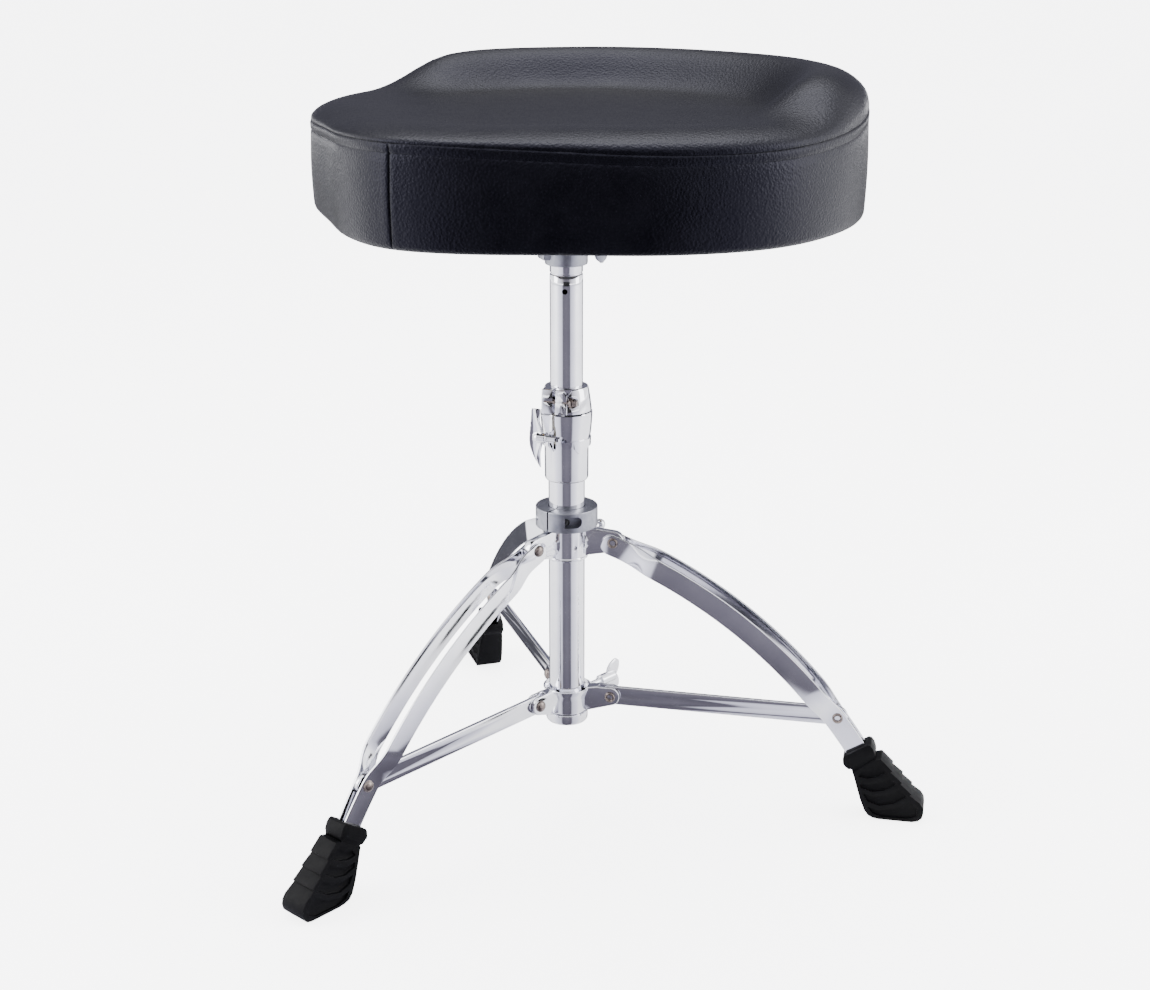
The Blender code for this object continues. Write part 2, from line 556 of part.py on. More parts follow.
# ---------------------------------------------------------------- seat

def seat_radius(phi):
    """The outline's radius at an angle from the rear, the same on both sides, drawn smooth."""
    phi = abs((phi + 180.0) % 360.0 - 180.0)
    total = weight_sum = 0.0
    for shift in range(-14, 15, 2):
        at = abs(phi + shift)
        at = 360.0 - at if at > 180.0 else at
        weight = math.exp(-(shift / 8.0) ** 2)
        total += weight * between(SEAT_OUTLINE, at)
        weight_sum += weight
    return total / weight_sum


def seam_height(phi):
    a = math.radians(phi)
    return min(547.4 + 10.4 * math.cos(a) + 7.3 * math.cos(2 * a), 556.0)


def crest_height(phi):
    """The rear rim is high for about 62 degrees each side and then falls to the low roll."""
    phi = abs((phi + 180.0) % 360.0 - 180.0)
    t = max(0.0, min(1.0, (86.0 - phi) / 24.0))
    return ROLL_TOP + (RIM_TOP - ROLL_TOP) * t * t * (3 - 2 * t)


def seat_section(phi, inset):
    """(radius, height) from the seam over the rim to near the middle, moved inwards by inset."""
    radius, seam, crest = seat_radius(phi), seam_height(phi), crest_height(phi)
    points = []
    for k in (0, 22, 45, 68, 90):
        a = math.radians(k)
        points.append((radius - RIM_WIDTH + RIM_WIDTH * math.cos(a), seam + (crest - seam) * math.sin(a)))
    for k in (0.3, 0.6, 1.0):
        fall = 0.5 - 0.5 * math.cos(math.pi * k)
        points.append((radius - RIM_WIDTH - RIM_FOOT * k, crest + (SEAT_FLAT - crest) * fall))
    points += [(70.0, SEAT_FLAT - 0.4), (20.0, SEAT_FLAT - 0.6)]
    return [(r - inset * min(1.0, r / 60.0), z - (0.0 if i == 0 else inset))
            for i, (r, z) in enumerate(points)]


def seat_loft(name, sections, closed, finish, parent):
    """Rings of points round the seat, joined in order, and capped or closed on themselves."""
    shape = bmesh.new()
    rings = []
    for ring in zip(*sections):
        rings.append([shape.verts.new((r * MM * math.cos(math.radians(phi)),
                                       r * MM * math.sin(math.radians(phi)), z * MM))
                      for phi, (r, z) in zip(seat_angles(), ring)])
    pairs = list(zip(rings, rings[1:])) + ([(rings[-1], rings[0])] if closed else [])
    for low, high in pairs:
        for i in range(SEAT_SIDES):
            j = (i + 1) % SEAT_SIDES
            shape.faces.new((low[i], low[j], high[j], high[i]))
    if not closed:
        shape.faces.new(list(reversed(rings[0])))
        shape.faces.new(rings[-1])
    bmesh.ops.recalc_face_normals(shape, faces=shape.faces)
    made = place(from_bmesh(name, shape), PARTS, finish, parent)
    return smooth(made, 40)


def seat_angles():
    return [360.0 * i / SEAT_SIDES for i in range(SEAT_SIDES)]


def seat_outline(inset):
    return [((seat_radius(phi) - inset) * math.cos(math.radians(phi)),
             (seat_radius(phi) - inset) * math.sin(math.radians(phi))) for phi in seat_angles()]


def make_seat(seat):
    clear = COVER_THICK + 0.4
    tops = [list(reversed(seat_section(phi, 0.0))) + seat_section(phi, COVER_THICK) for phi in seat_angles()]
    seat_loft("seat_cover_top", tops, False, VINYL, seat)

    bands = []
    for phi in seat_angles():
        r, top = seat_radius(phi), seam_height(phi) - GAP
        bands.append([(r, top), (r, SEAT_LOW + 4.0), (r - 1.2, SEAT_LOW + 1.2), (r - 4.0, SEAT_LOW),
                      (r - 24.0, SEAT_LOW), (r - 24.0, SEAT_LOW + 1.2), (r - 4.4, SEAT_LOW + 1.2),
                      (r - COVER_THICK, SEAT_LOW + 4.6), (r - COVER_THICK, top)])
    seat_loft("seat_cover_band", bands, True, VINYL, seat)

    foams = []
    for phi in seat_angles():
        r, dome = seat_radius(phi) - clear, seat_section(phi, clear)
        foams.append([(20.0, BOARD_HIGH + GAP), (r, BOARD_HIGH + GAP), (r, seam_height(phi) - 2.5)])
        foams[-1] += dome[1:]
    seat_loft("seat_foam", foams, False, FOAM, seat)

    middle = (BOARD_LOW + BOARD_HIGH) / 2
    board = plate("seat_base_board", seat_outline(clear + 3.0), (BOARD_HIGH - BOARD_LOW) / 2, PLYWOOD, seat,
                  (0, 0, middle))
    lining = plate("seat_lining", seat_outline(24.6), 0.6, LINING, seat, (0, 0, SEAT_LOW + 0.6))
    combine(lining, block("lining_opening", (-54, -54, 470), (54, 54, 480), seat))
    return board


def make_receiver(seat, board):
    profile = [(RECEIVER_R, FLANGE_LOW + 2), (RECEIVER_R, RECEIVER_LOW + 1.0),
               (RECEIVER_R - 1.0, RECEIVER_LOW), (BUSH_R, RECEIVER_LOW), (BUSH_R, FLANGE_LOW + 2)]
    receiver = turned("seat_receiver", profile, SATIN, seat)
    corner = 12.0
    side = FLANGE_HALF - corner
    outline = []
    for x, y, start in ((side, side, 0), (-side, side, 90), (-side, -side, 180), (side, -side, 270)):
        outline += arc_points(x, y, corner, start, start + 90, 4)
    flange = plate("receiver_flange", outline, (FLANGE_HIGH - FLANGE_LOW) / 2, None, seat,
                   (0, 0, (FLANGE_LOW + FLANGE_HIGH) / 2), collection=CUTTERS)
    combine(receiver, flange, "UNION")
    wing_turn = pointing(RECEIVER_WING_AZIMUTH - SEAT_AZIMUTH)
    boss = rod("receiver_boss", 9.0, 12.0, 26.0, seat, (0, 0, RECEIVER_WING_Z), wing_turn, ROUND)
    combine(receiver, boss, "UNION")
    lobe = block("receiver_lobe", (11.0, -7.0, RECEIVER_LOW + 4.5), (20.8, 7.0, FLANGE_LOW + 1), seat,
                 turn=about_z(200.0 - SEAT_AZIMUTH))
    combine(receiver, lobe, "UNION")
    combine(receiver, rod("receiver_bore", BUSH_R + 1.5, 400, FLANGE_LOW + 0.4, seat, sides=ROUND))
    combine(receiver, rod("receiver_wing_hole", 2.8 + GAP, 10, 40, seat, (0, 0, RECEIVER_WING_Z), wing_turn))
    sleeve = ring_profile(BUSH_R + 1.5 - GAP, BUSH_R, RECEIVER_LOW + 0.6, FLANGE_LOW - 0.5)
    bush = turned("receiver_bush", sleeve, NYLON, seat)
    combine(bush, rod("bush_wing_hole", 2.8 + GAP, 10, 40, seat, (0, 0, RECEIVER_WING_Z), wing_turn))
    wing_screw("receiver_wing_screw", SATIN, seat, (0, 0, RECEIVER_WING_Z), wing_turn,
               (2.8, POST_R + GAP + 0.1), (5.0, 26.4, 33.0), (16.5, 11.0, 1.8))
    head = [(0, FLANGE_LOW - 4.6), (4.6, FLANGE_LOW - 4.0), (6.2, FLANGE_LOW - 1.6), (6.4, FLANGE_LOW - GAP),
            (3.0, FLANGE_LOW - GAP), (3.0, BOARD_HIGH - 1.5), (0, BOARD_HIGH - 1.5)]
    number = 0
    for x in (RECEIVER_BOLT_AT, -RECEIVER_BOLT_AT):
        for y in (RECEIVER_BOLT_AT, -RECEIVER_BOLT_AT):
            number += 1
            for target, word in ((receiver, "flange"), (board, "board")):
                top = 478.0 if target is receiver else BOARD_HIGH - 1.0
                combine(target, rod(f"{word}_bolt_hole_{number}", 3.0 + GAP, 460, top, seat, (x, y, 0)))
            turned(f"receiver_bolt_{number}", list(reversed(head)), STEEL, seat, (x, y, 0), sides=SMALL_ROUND,
                   closed=False)


def main():
    make_column()
    make_upper_hub()
    make_collar()
    make_clamp()
    post = make_post()
    make_lock(post)
    seat = guide("seat_guide", post, turn=about_z(SEAT_AZIMUTH))
    board = make_seat(seat)
    make_receiver(seat, board)
    hub_guide = guide("lower_hub_guide", AXIS)
    make_lower_hub(hub_guide)
    wing_screw("lower_wing_screw", CHROME, hub_guide, (0, 0, LOWER_BOLT_Z), pointing(BOLT_AZIMUTH),
               (2.5, TUBE_R + 0.2), (4.5, 40.0, 58.0), (14.0, 15.0, 1.5))
    for number, azimuth in enumerate(LEG_AZIMUTHS, 1):
        make_leg(number, azimuth)
        make_strut(number, azimuth)


main()
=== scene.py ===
"""The looks of a drum throne: saddle seat, chromed column and a folding three-leg base.

Lengths are millimetres and angles are degrees unless a name says otherwise.
"""
import math

import bpy
from mathutils import Matrix, Vector, noise


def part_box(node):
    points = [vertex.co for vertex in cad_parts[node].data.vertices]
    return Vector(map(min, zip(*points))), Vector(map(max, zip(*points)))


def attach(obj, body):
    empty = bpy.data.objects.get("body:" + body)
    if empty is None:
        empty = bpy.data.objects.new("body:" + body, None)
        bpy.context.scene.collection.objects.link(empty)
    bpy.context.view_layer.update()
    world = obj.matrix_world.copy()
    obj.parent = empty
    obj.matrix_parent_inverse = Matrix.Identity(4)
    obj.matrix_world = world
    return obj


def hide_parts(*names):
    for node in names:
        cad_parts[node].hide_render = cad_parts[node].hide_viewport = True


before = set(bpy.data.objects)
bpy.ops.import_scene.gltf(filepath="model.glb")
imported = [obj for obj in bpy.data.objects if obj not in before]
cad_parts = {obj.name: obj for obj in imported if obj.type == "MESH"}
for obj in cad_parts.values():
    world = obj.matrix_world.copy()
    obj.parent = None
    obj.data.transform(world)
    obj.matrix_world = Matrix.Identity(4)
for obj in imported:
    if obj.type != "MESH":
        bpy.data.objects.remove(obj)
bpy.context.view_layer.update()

MM = 0.001

# The tube's axis comes from the frame; everything else is measured from it.
TUBE_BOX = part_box("base_tube")
AXIS = Vector(((TUBE_BOX[0].x + TUBE_BOX[1].x) / 2, (TUBE_BOX[0].y + TUBE_BOX[1].y) / 2, 0.0))
LEG_AZIMUTHS = (-12.5, -132.5, 107.5)
SEAT_AZIMUTH = 52.0
BOLT_AZIMUTH = 47.5
TUBE_R, TUBE_BORE, POST_R = 14.3, 13.1, 12.7
ROUND = 96                                  # sides of the tubes and castings

# Legs: each is a pair of bars along an arc in its own upright plane
ARC_R, ARC_Z, ARC_RADIUS = -100.3, -164.1, 401.0
HINGE_R, HINGE_Z = 38.0, 215.0
INNER_R, INNER_Z = 36.6, 82.5
OUTER_R, OUTER_Z = 219.5, 82.0
BAR_HALF, BAR_THICK = 8.55, 2.0
BAR_TOP_ANGLE, BAR_FOOT_ANGLE, OUTER_RIVET_ANGLE = 70.0, 29.6, 37.6
BAR_SPREAD = ((80.0, 5.5), (67.7, 5.5), (64.9, 12.2), (40.9, 12.2), (38.4, 5.0), (34.0, 4.3), (28.0, 3.5))
STRUT_HALF, STRUT_THICK = 7.7, 3.5

# Clamps: the ears' flat face, the slit in it and the two bolts across it
EAR_AZIMUTH, EAR_FACE, EAR_LEFT, EAR_RIGHT = -108.0, 19.2, -14.5, 6.4
SLIT_AT, SLIT_WIDTH = -4.3, 2.4
CLAMP_BOLT = (17.7, SLIT_AT, 301.0)
LOCK_BOLT = (16.2, SLIT_AT, 330.0)
UPPER_BOLT_Z, LOWER_BOLT_Z = 216.0, 78.0
COLLAR_SLIT_AZIMUTH = -127.6
RECEIVER_WING_AZIMUTH, RECEIVER_WING_Z, RECEIVER_BOLT_AT = 30.0, 448.0, 36.5


# ---------------------------------------------------------------- camera, light, floor

def set_camera():
    """A short telephoto a little above the seat, looking down at the whole stool."""
    data = bpy.data.cameras.new("camera")
    data.sensor_width = 36.0
    data.lens = 56.3
    data.clip_end = 60.0
    camera = bpy.data.objects.new("camera", data)
    bpy.context.scene.collection.objects.link(camera)
    camera.location = AXIS + Vector((0.0, -1.3419, 0.6939))
    camera.rotation_euler = (math.radians(90.0 - 18.29), 0.0, math.radians(-0.28))
    bpy.context.scene.camera = camera


def set_world():
    """A studio for the metal to mirror: bright sides and top, dark behind the stool and the camera."""
    world = bpy.data.worlds.new("studio")
    world.use_nodes = True
    bpy.context.scene.world = world
    tree = world.node_tree
    tree.nodes.clear()
    split, share = turn_share(tree, node(tree, "ShaderNodeTexCoord").outputs["Generated"])
    bands = ramp(tree, share, WORLD_BANDS)
    height = node(tree, "ShaderNodeMapRange", Value=split.outputs["Z"])
    height.inputs["From Min"].default_value = 0.50
    height.inputs["From Max"].default_value = 0.80
    top = node(tree, "ShaderNodeMix", data_type="RGBA", Factor=height.outputs[0], A=bands.outputs[0])
    top.inputs["B"].default_value = (*linear("#F4F4F8"), 1.0)
    studio = node(tree, "ShaderNodeBackground", Color=top.outputs["Result"])
    studio.inputs["Strength"].default_value = 2.6
    plain = node(tree, "ShaderNodeBackground")
    plain.inputs["Color"].default_value = (1.0, 1.0, 1.0, 1.0)
    plain.inputs["Strength"].default_value = 9.0
    seen = node(tree, "ShaderNodeLightPath")
    shown = node(tree, "ShaderNodeMixShader", i0=seen.outputs["Is Camera Ray"], i1=studio.outputs[0],
                 i2=plain.outputs[0])
    node(tree, "ShaderNodeOutputWorld", Surface=shown.outputs[0])


# Brightness of the studio's walls from straight behind the object (0) to behind the camera (1)
WORLD_BANDS = ((0.00, "#50505A"), (0.10, "#50505A"), (0.20, "#62626C"), (0.30, "#F6F6FA"),
               (0.62, "#FFFFFF"), (0.74, "#C8C8D2"), (0.86, "#8E8C90"), (0.90, "#5A5860"), (1.00, "#4E4C52"))


def area_light(name, place, size, power):
    """A soft white panel aimed at the middle of the stool."""
    data = bpy.data.lights.new(name, "AREA")
    data.shape = "RECTANGLE"
    data.size, data.size_y = size
    data.energy = power
    lamp = bpy.data.objects.new(name, data)
    bpy.context.scene.collection.objects.link(lamp)
    lamp.location = AXIS + Vector(place)
    lamp.rotation_euler = (AXIS + Vector((0, 0, 0.4)) - lamp.location).to_track_quat("-Z", "Y").to_euler()
    lamp.visible_camera = False


def set_lights():
    """Two tall panels at the sides and one above."""
    area_light("left_softbox", (-2.2, -0.5, 1.3), (1.2, 2.0), 42)
    area_light("right_softbox", (2.3, -0.3, 1.2), (1.2, 2.0), 34)
    area_light("top_softbox", (0.0, 0.6, 2.4), (1.8, 1.4), 30)


def mirror_only(made, name, finish):
    """A stage card that only mirrors see."""
    made.name = name
    made.data.materials.append(finish)
    made.visible_camera = False
    made.visible_diffuse = False
    made.visible_shadow = False


def set_cards():
    """What the chrome and the vinyl mirror: a striped disc on the floor and a black card in front."""
    clear_selection()
    bpy.ops.mesh.primitive_circle_add(vertices=96, radius=6.0, fill_type="NGON", location=AXIS)
    mirror_only(bpy.context.active_object, "striped_disc", CARD_STRIPES)
    clear_selection()
    bpy.ops.mesh.primitive_plane_add(size=1.0, location=AXIS + Vector((0.03, -1.46, 0.40)),
                                     rotation=(math.radians(90), 0, 0))
    made = bpy.context.active_object
    made.scale = (1.2, 0.42, 1.0)
    mirror_only(made, "front_card", CARD_BLACK)


def set_floor():
    """Studio paper just below the feet."""
    bpy.ops.mesh.primitive_plane_add(size=60.0, location=(0, 0, -0.0004))
    floor = bpy.context.active_object
    floor.name = "studio_floor"
    floor.data.materials.append(FLOOR)


# ---------------------------------------------------------------- materials

def linear(text):
    """An sRGB hex colour as Blender's linear values."""
    parts = [int(text[i:i + 2], 16) / 255.0 for i in (1, 3, 5)]
    return tuple(p / 12.92 if p <= 0.04045 else ((p + 0.055) / 1.055) ** 2.4 for p in parts)


def node(tree, kind, **settings):
    """Add a node; a setting is a property, an input's value or link, or i0, i1, ... for numbered inputs."""
    made = tree.nodes.new(kind)
    links = {}
    for key, value in settings.items():
        if hasattr(made, key) and not isinstance(value, bpy.types.NodeSocket):
            setattr(made, key, value)
        else:
            links[key] = value
    for key, value in links.items():
        if key[0] == "i" and key[1:].isdigit():
            socket = made.inputs[int(key[1:])]
        else:
            socket = next(s for s in made.inputs if s.name == key.replace("_", " ") and s.enabled)
        if isinstance(value, bpy.types.NodeSocket):
            tree.links.new(value, socket)
        else:
            socket.default_value = value
    return made


def turn_share(tree, direction):
    """A direction's parts, and how far round it looks: straight behind (0) to straight in front (1)."""
    split = node(tree, "ShaderNodeSeparateXYZ", Vector=direction)
    angle = node(tree, "ShaderNodeMath", operation="ARCTAN2", i0=split.outputs["X"], i1=split.outputs["Y"])
    turn = node(tree, "ShaderNodeMath", operation="ABSOLUTE", i0=angle.outputs[0])
    share = node(tree, "ShaderNodeMath", operation="DIVIDE", i0=turn.outputs[0], i1=math.pi)
    return split, share.outputs[0]


def ramp(tree, factor, stops):
    """A colour ramp through (place, hex colour) stops."""
    made = node(tree, "ShaderNodeValToRGB", Fac=factor)
    stretch = made.color_ramp
    while len(stretch.elements) < len(stops):
        stretch.elements.new(1.0)
    for element, (place, colour) in zip(stretch.elements, stops):
        element.position = place
        element.color = (*linear(colour), 1.0)
    return made


def surface(name, colour, metallic, roughness, **extra):
    """A Principled material and its tree, shader and Object coordinates."""
    made = bpy.data.materials.new(name)
    made.use_nodes = True
    tree = made.node_tree
    shader = tree.nodes["Principled BSDF"]
    shader.inputs["Base Color"].default_value = (*linear(colour), 1.0)
    shader.inputs["Metallic"].default_value = metallic
    shader.inputs["Roughness"].default_value = roughness
    for key, value in extra.items():
        shader.inputs[key.replace("_", " ")].default_value = value
    place = node(tree, "ShaderNodeTexCoord").outputs["Object"]
    return made, tree, shader, place


def grain(tree, place, size, detail=3.0, stretch=(1, 1, 1)):
    """Noise whose lumps are about size millimetres across."""
    mapped = node(tree, "ShaderNodeMapping", Vector=place, Scale=stretch)
    return node(tree, "ShaderNodeTexNoise", Vector=mapped.outputs[0], Scale=1000.0 / size, Detail=detail,
                Roughness=0.55).outputs[0]


def roughen(tree, shader, value, low, high):
    """Roughness that wanders between two numbers with the middle of a noise value."""
    made = node(tree, "ShaderNodeMapRange", Value=value)
    for key, number in (("From Min", 0.3), ("From Max", 0.7), ("To Min", low), ("To Max", high)):
        made.inputs[key].default_value = number
    tree.links.new(made.outputs[0], shader.inputs["Roughness"])


def tint(tree, shader, value, dark, light):
    """Colour that wanders between two close shades."""
    mixed = ramp(tree, value, ((0.3, dark), (0.7, light)))
    tree.links.new(mixed.outputs[0], shader.inputs["Base Color"])


def bump(tree, shader, value, depth_mm, strength=1.0):
    """Fine relief of a depth in millimetres."""
    made = node(tree, "ShaderNodeBump", Height=value, Distance=depth_mm * MM, Strength=strength)
    tree.links.new(made.outputs[0], shader.inputs["Normal"])


def chrome_plate():
    """Bright chrome over polished steel: mirror sharp, with faint buffing and a few dull smears."""
    made, tree, shader, place = surface("bright_chrome_plate", "#E9E9EE", 1.0, 0.06)
    smear = grain(tree, place, 22.0)
    roughen(tree, shader, smear, 0.045, 0.11)
    tint(tree, shader, smear, "#E2E2E8", "#EEEEF2")
    bump(tree, shader, grain(tree, place, 9.0, 1.0), 0.012, 0.5)
    return made


def satin_casting():
    """Tumbled zinc casting in satin nickel: grey, soft highlights, grain finer than half a millimetre."""
    made, tree, shader, place = surface("satin_nickel_casting", "#8E9098", 1.0, 0.36)
    fine = grain(tree, place, 0.9)
    roughen(tree, shader, fine, 0.30, 0.44)
    tint(tree, shader, grain(tree, place, 6.0), "#85878F", "#9A9BA3")
    bump(tree, shader, fine, 0.03, 0.6)
    return made


def zinc_rivet():
    """Plated mild steel rivets, a little warm and scuffed where the snap tool closed them."""
    made, tree, shader, place = surface("plated_rivet_steel", "#7C726D", 1.0, 0.28)
    scuff = grain(tree, place, 1.4)
    roughen(tree, shader, scuff, 0.2, 0.4)
    tint(tree, shader, scuff, "#665C58", "#938983")
    bump(tree, shader, scuff, 0.02, 0.5)
    return made


def black_oxide():
    """Black oxide socket screw: oily dark steel."""
    made, tree, shader, place = surface("black_oxide_steel", "#1C1C1F", 0.85, 0.35)
    fine = grain(tree, place, 0.7)
    roughen(tree, shader, fine, 0.28, 0.45)
    tint(tree, shader, fine, "#161618", "#26262A")
    bump(tree, shader, fine, 0.01, 0.5)
    return made


def grained_vinyl():
    """Black upholstery vinyl: embossed pebble grain of about 1.8 mm, semi-matt, bluish where it shines."""
    made, tree, shader, place = surface("black_grained_vinyl", "#030304", 0.0, 0.44, Specular_IOR_Level=0.19)
    shader.inputs["Specular Tint"].default_value = (*linear("#D0D0F4"), 1.0)
    pebble = node(tree, "ShaderNodeTexVoronoi", Vector=place, Scale=1000.0 / 1.8, feature="SMOOTH_F1")
    pebble.inputs["Smoothness"].default_value = 0.6
    fine = grain(tree, place, 0.8, 2.0)
    rough = grain(tree, place, 30.0)
    height = node(tree, "ShaderNodeMath", operation="MULTIPLY_ADD", i0=fine, i1=0.5,
                  i2=pebble.outputs["Distance"])
    roughen(tree, shader, rough, 0.30, 0.38)
    tint(tree, shader, rough, "#020203", "#050507")
    bump(tree, shader, height.outputs[0], 0.30, 1.0)
    return made


def moulded_rubber():
    """Moulded natural rubber: charcoal black, matt, with mould texture and dusty high spots."""
    made, tree, shader, place = surface("moulded_black_rubber", "#050506", 0.0, 0.52, Specular_IOR_Level=0.10)
    dust = grain(tree, place, 7.0)
    tint(tree, shader, dust, "#030304", "#070709")
    roughen(tree, shader, dust, 0.46, 0.62)
    bump(tree, shader, grain(tree, place, 0.8), 0.05, 0.6)
    return made


def bonded_thread():
    """Bonded nylon sewing thread, black, twisted: fine slanting ridges."""
    made, tree, shader, place = surface("bonded_nylon_thread", "#0A0A0C", 0.0, 0.38)
    twist = node(tree, "ShaderNodeTexWave", Vector=place, Scale=1000.0 / 3.0, Distortion=1.0)
    tint(tree, shader, twist.outputs[1], "#060607", "#131317")
    bump(tree, shader, twist.outputs[1], 0.05, 0.7)
    return made


def moulded_nylon():
    """Natural nylon bush: off-white, waxy."""
    made, tree, shader, place = surface("natural_nylon", "#D8D4C8", 0.0, 0.42)
    cloud = grain(tree, place, 5.0)
    tint(tree, shader, cloud, "#D0CCC0", "#E0DDD2")
    bump(tree, shader, grain(tree, place, 1.0), 0.02, 0.4)
    return made


def birch_plywood():
    """Raw birch plywood: pale face with long grain about 2 mm wide."""
    made, tree, shader, place = surface("birch_plywood", "#C3A375", 0.0, 0.62)
    lines = grain(tree, place, 2.2, 4.0, (1.0, 0.08, 1.0))
    tint(tree, shader, lines, "#A98A5E", "#CDB083")
    bump(tree, shader, lines, 0.06, 0.6)
    return made


def nonwoven_cloth():
    """Black spun-bonded dust cloth: matt, with a fibrous mottle."""
    made, tree, shader, place = surface("spunbonded_black_cloth", "#121214", 0.0, 0.9)
    fibre = grain(tree, place, 1.6, 5.0)
    tint(tree, shader, fibre, "#0B0B0C", "#1E1E21")
    bump(tree, shader, fibre, 0.12, 0.8)
    return made


def open_cell_foam():
    """Grey polyurethane foam with visible cells."""
    made, tree, shader, place = surface("open_cell_foam", "#5B5B5E", 0.0, 0.95)
    cells = grain(tree, place, 1.8, 4.0)
    tint(tree, shader, cells, "#4A4A4D", "#6C6C70")
    bump(tree, shader, cells, 0.2, 0.9)
    return made


def paper_floor():
    """White studio paper with the faintest tooth, a little brighter to look at than to light by."""
    made, tree, shader, place = surface("studio_paper", "#FAFAFB", 0.0, 0.95)
    shader.inputs["Emission Color"].default_value = (1.0, 1.0, 1.0, 1.0)
    tint(tree, shader, grain(tree, place, 40.0), "#F9F9FA", "#FCFCFD")
    seen = node(tree, "ShaderNodeLightPath")
    bright = node(tree, "ShaderNodeMapRange", Value=seen.outputs["Is Camera Ray"])
    bright.inputs["To Min"].default_value = 1.3
    bright.inputs["To Max"].default_value = 4.5
    tree.links.new(bright.outputs[0], shader.inputs["Emission Strength"])
    return made


def card_paint(name, colour):
    """Matt studio card with a faint roller texture."""
    made, tree, shader, place = surface(name, colour, 0.0, 0.95)
    bump(tree, shader, grain(tree, place, 3.0), 0.1, 0.4)
    return made


def striped_card():
    """Painted sectors seen from the column: dark in front, white sides, dark slivers and grey behind."""
    made, tree, shader, place = surface("striped_card", "#FFFFFF", 0.0, 0.95)
    bands = ramp(tree, turn_share(tree, place)[1], SECTORS)
    tree.links.new(bands.outputs[0], shader.inputs["Base Color"])
    return made


# Sector colours from straight behind the object (0) to straight in front (1)
SECTORS = ((0.00, "#C9C9D2"), (0.105, "#C9C9D2"), (0.13, "#1E1E26"), (0.21, "#24242C"), (0.25, "#FFFFFF"),
           (0.60, "#FFFFFF"), (0.70, "#DCDCE6"), (0.83, "#B8B8C4"), (0.868, "#413E48"), (1.00, "#4C4954"))
CARD_STRIPES, CARD_BLACK = striped_card(), card_paint("black_card", "#050506")
CHROME, SATIN, RIVET, OXIDE = chrome_plate(), satin_casting(), zinc_rivet(), black_oxide()
VINYL, RUBBER, THREAD = grained_vinyl(), moulded_rubber(), bonded_thread()
NYLON, PLYWOOD, CLOTH, FOAM = moulded_nylon(), birch_plywood(), nonwoven_cloth(), open_cell_foam()
FLOOR = paper_floor()


# ---------------------------------------------------------------- modelling helpers

def clear_selection():
    """Leave edit mode and select nothing."""
    if bpy.context.mode != "OBJECT":
        bpy.ops.object.mode_set(mode="OBJECT")
    bpy.ops.object.select_all(action="DESELECT")


def named(name):
    """Name the active object and its mesh."""
    made = bpy.context.active_object
    made.name = made.data.name = name
    return made


def pick(made):
    """Select this object alone and make it the active one."""
    clear_selection()
    made.select_set(True)
    bpy.context.view_layer.objects.active = made


def edit(made):
    """Open a mesh in edit mode with everything selected."""
    pick(made)
    bpy.ops.object.mode_set(mode="EDIT")
    bpy.ops.mesh.select_all(action="SELECT")


def facing_out(made):
    """Turn all faces outwards."""
    edit(made)
    bpy.ops.mesh.normals_make_consistent(inside=False)
    bpy.ops.object.mode_set(mode="OBJECT")
    return made


def apply_all(made):
    """Apply every modifier in turn."""
    pick(made)
    for modifier in list(made.modifiers):
        bpy.ops.object.modifier_apply(modifier=modifier.name)
    return made


def joined(pieces, name):
    """Several pieces as one named object."""
    clear_selection()
    for piece in pieces:
        piece.select_set(True)
    bpy.context.view_layer.objects.active = pieces[0]
    bpy.ops.object.join()
    return named(name)


def turned(name, profile, sides=72, closed=False):
    """A round piece drawn up from a circle: (radius, height) rings, extruded one after another."""
    clear_selection()
    first_r, first_z = profile[0]
    bpy.ops.mesh.primitive_circle_add(vertices=sides, radius=first_r * MM, location=(0, 0, 0))
    made = named(name)
    bpy.ops.object.mode_set(mode="EDIT")
    bpy.ops.mesh.select_all(action="SELECT")
    bpy.ops.transform.translate(value=(0, 0, first_z * MM))
    if not closed:
        bpy.ops.mesh.edge_face_add()
        bpy.ops.mesh.select_all(action="SELECT")
    extrude = bpy.ops.mesh.extrude_edges_move if closed else bpy.ops.mesh.extrude_region_move
    radius, height = first_r, first_z
    for next_r, next_z in profile[1:]:
        extrude()
        bpy.ops.transform.translate(value=(0, 0, (next_z - height) * MM))
        ratio = next_r / radius
        bpy.ops.transform.resize(value=(ratio, ratio, 1.0), center_override=(0, 0, next_z * MM))
        radius, height = next_r, next_z
    if closed:
        bpy.ops.mesh.select_all(action="DESELECT")
        bpy.ops.mesh.select_mode(type="EDGE")
        bpy.ops.mesh.select_non_manifold()
        bpy.ops.mesh.bridge_edge_loops()
        bpy.ops.mesh.select_mode(type="VERT")
    return facing_out(made)


def box(name, low, high):
    """A block between two corners."""
    clear_selection()
    middle = [(a + b) / 2 * MM for a, b in zip(low, high)]
    size = [(b - a) * MM for a, b in zip(low, high)]
    bpy.ops.mesh.primitive_cube_add(size=1.0, location=middle, scale=size)
    made = named(name)
    bpy.ops.object.transform_apply(location=True, rotation=False, scale=True)
    return made


def rod(name, radius, low, high, sides=48):
    """A round bar along Z between two heights."""
    clear_selection()
    bpy.ops.mesh.primitive_cylinder_add(vertices=sides, radius=radius * MM, depth=(high - low) * MM,
                                        location=(0, 0, (high + low) / 2 * MM))
    made = named(name)
    bpy.ops.object.transform_apply(location=True, rotation=False, scale=False)
    return made


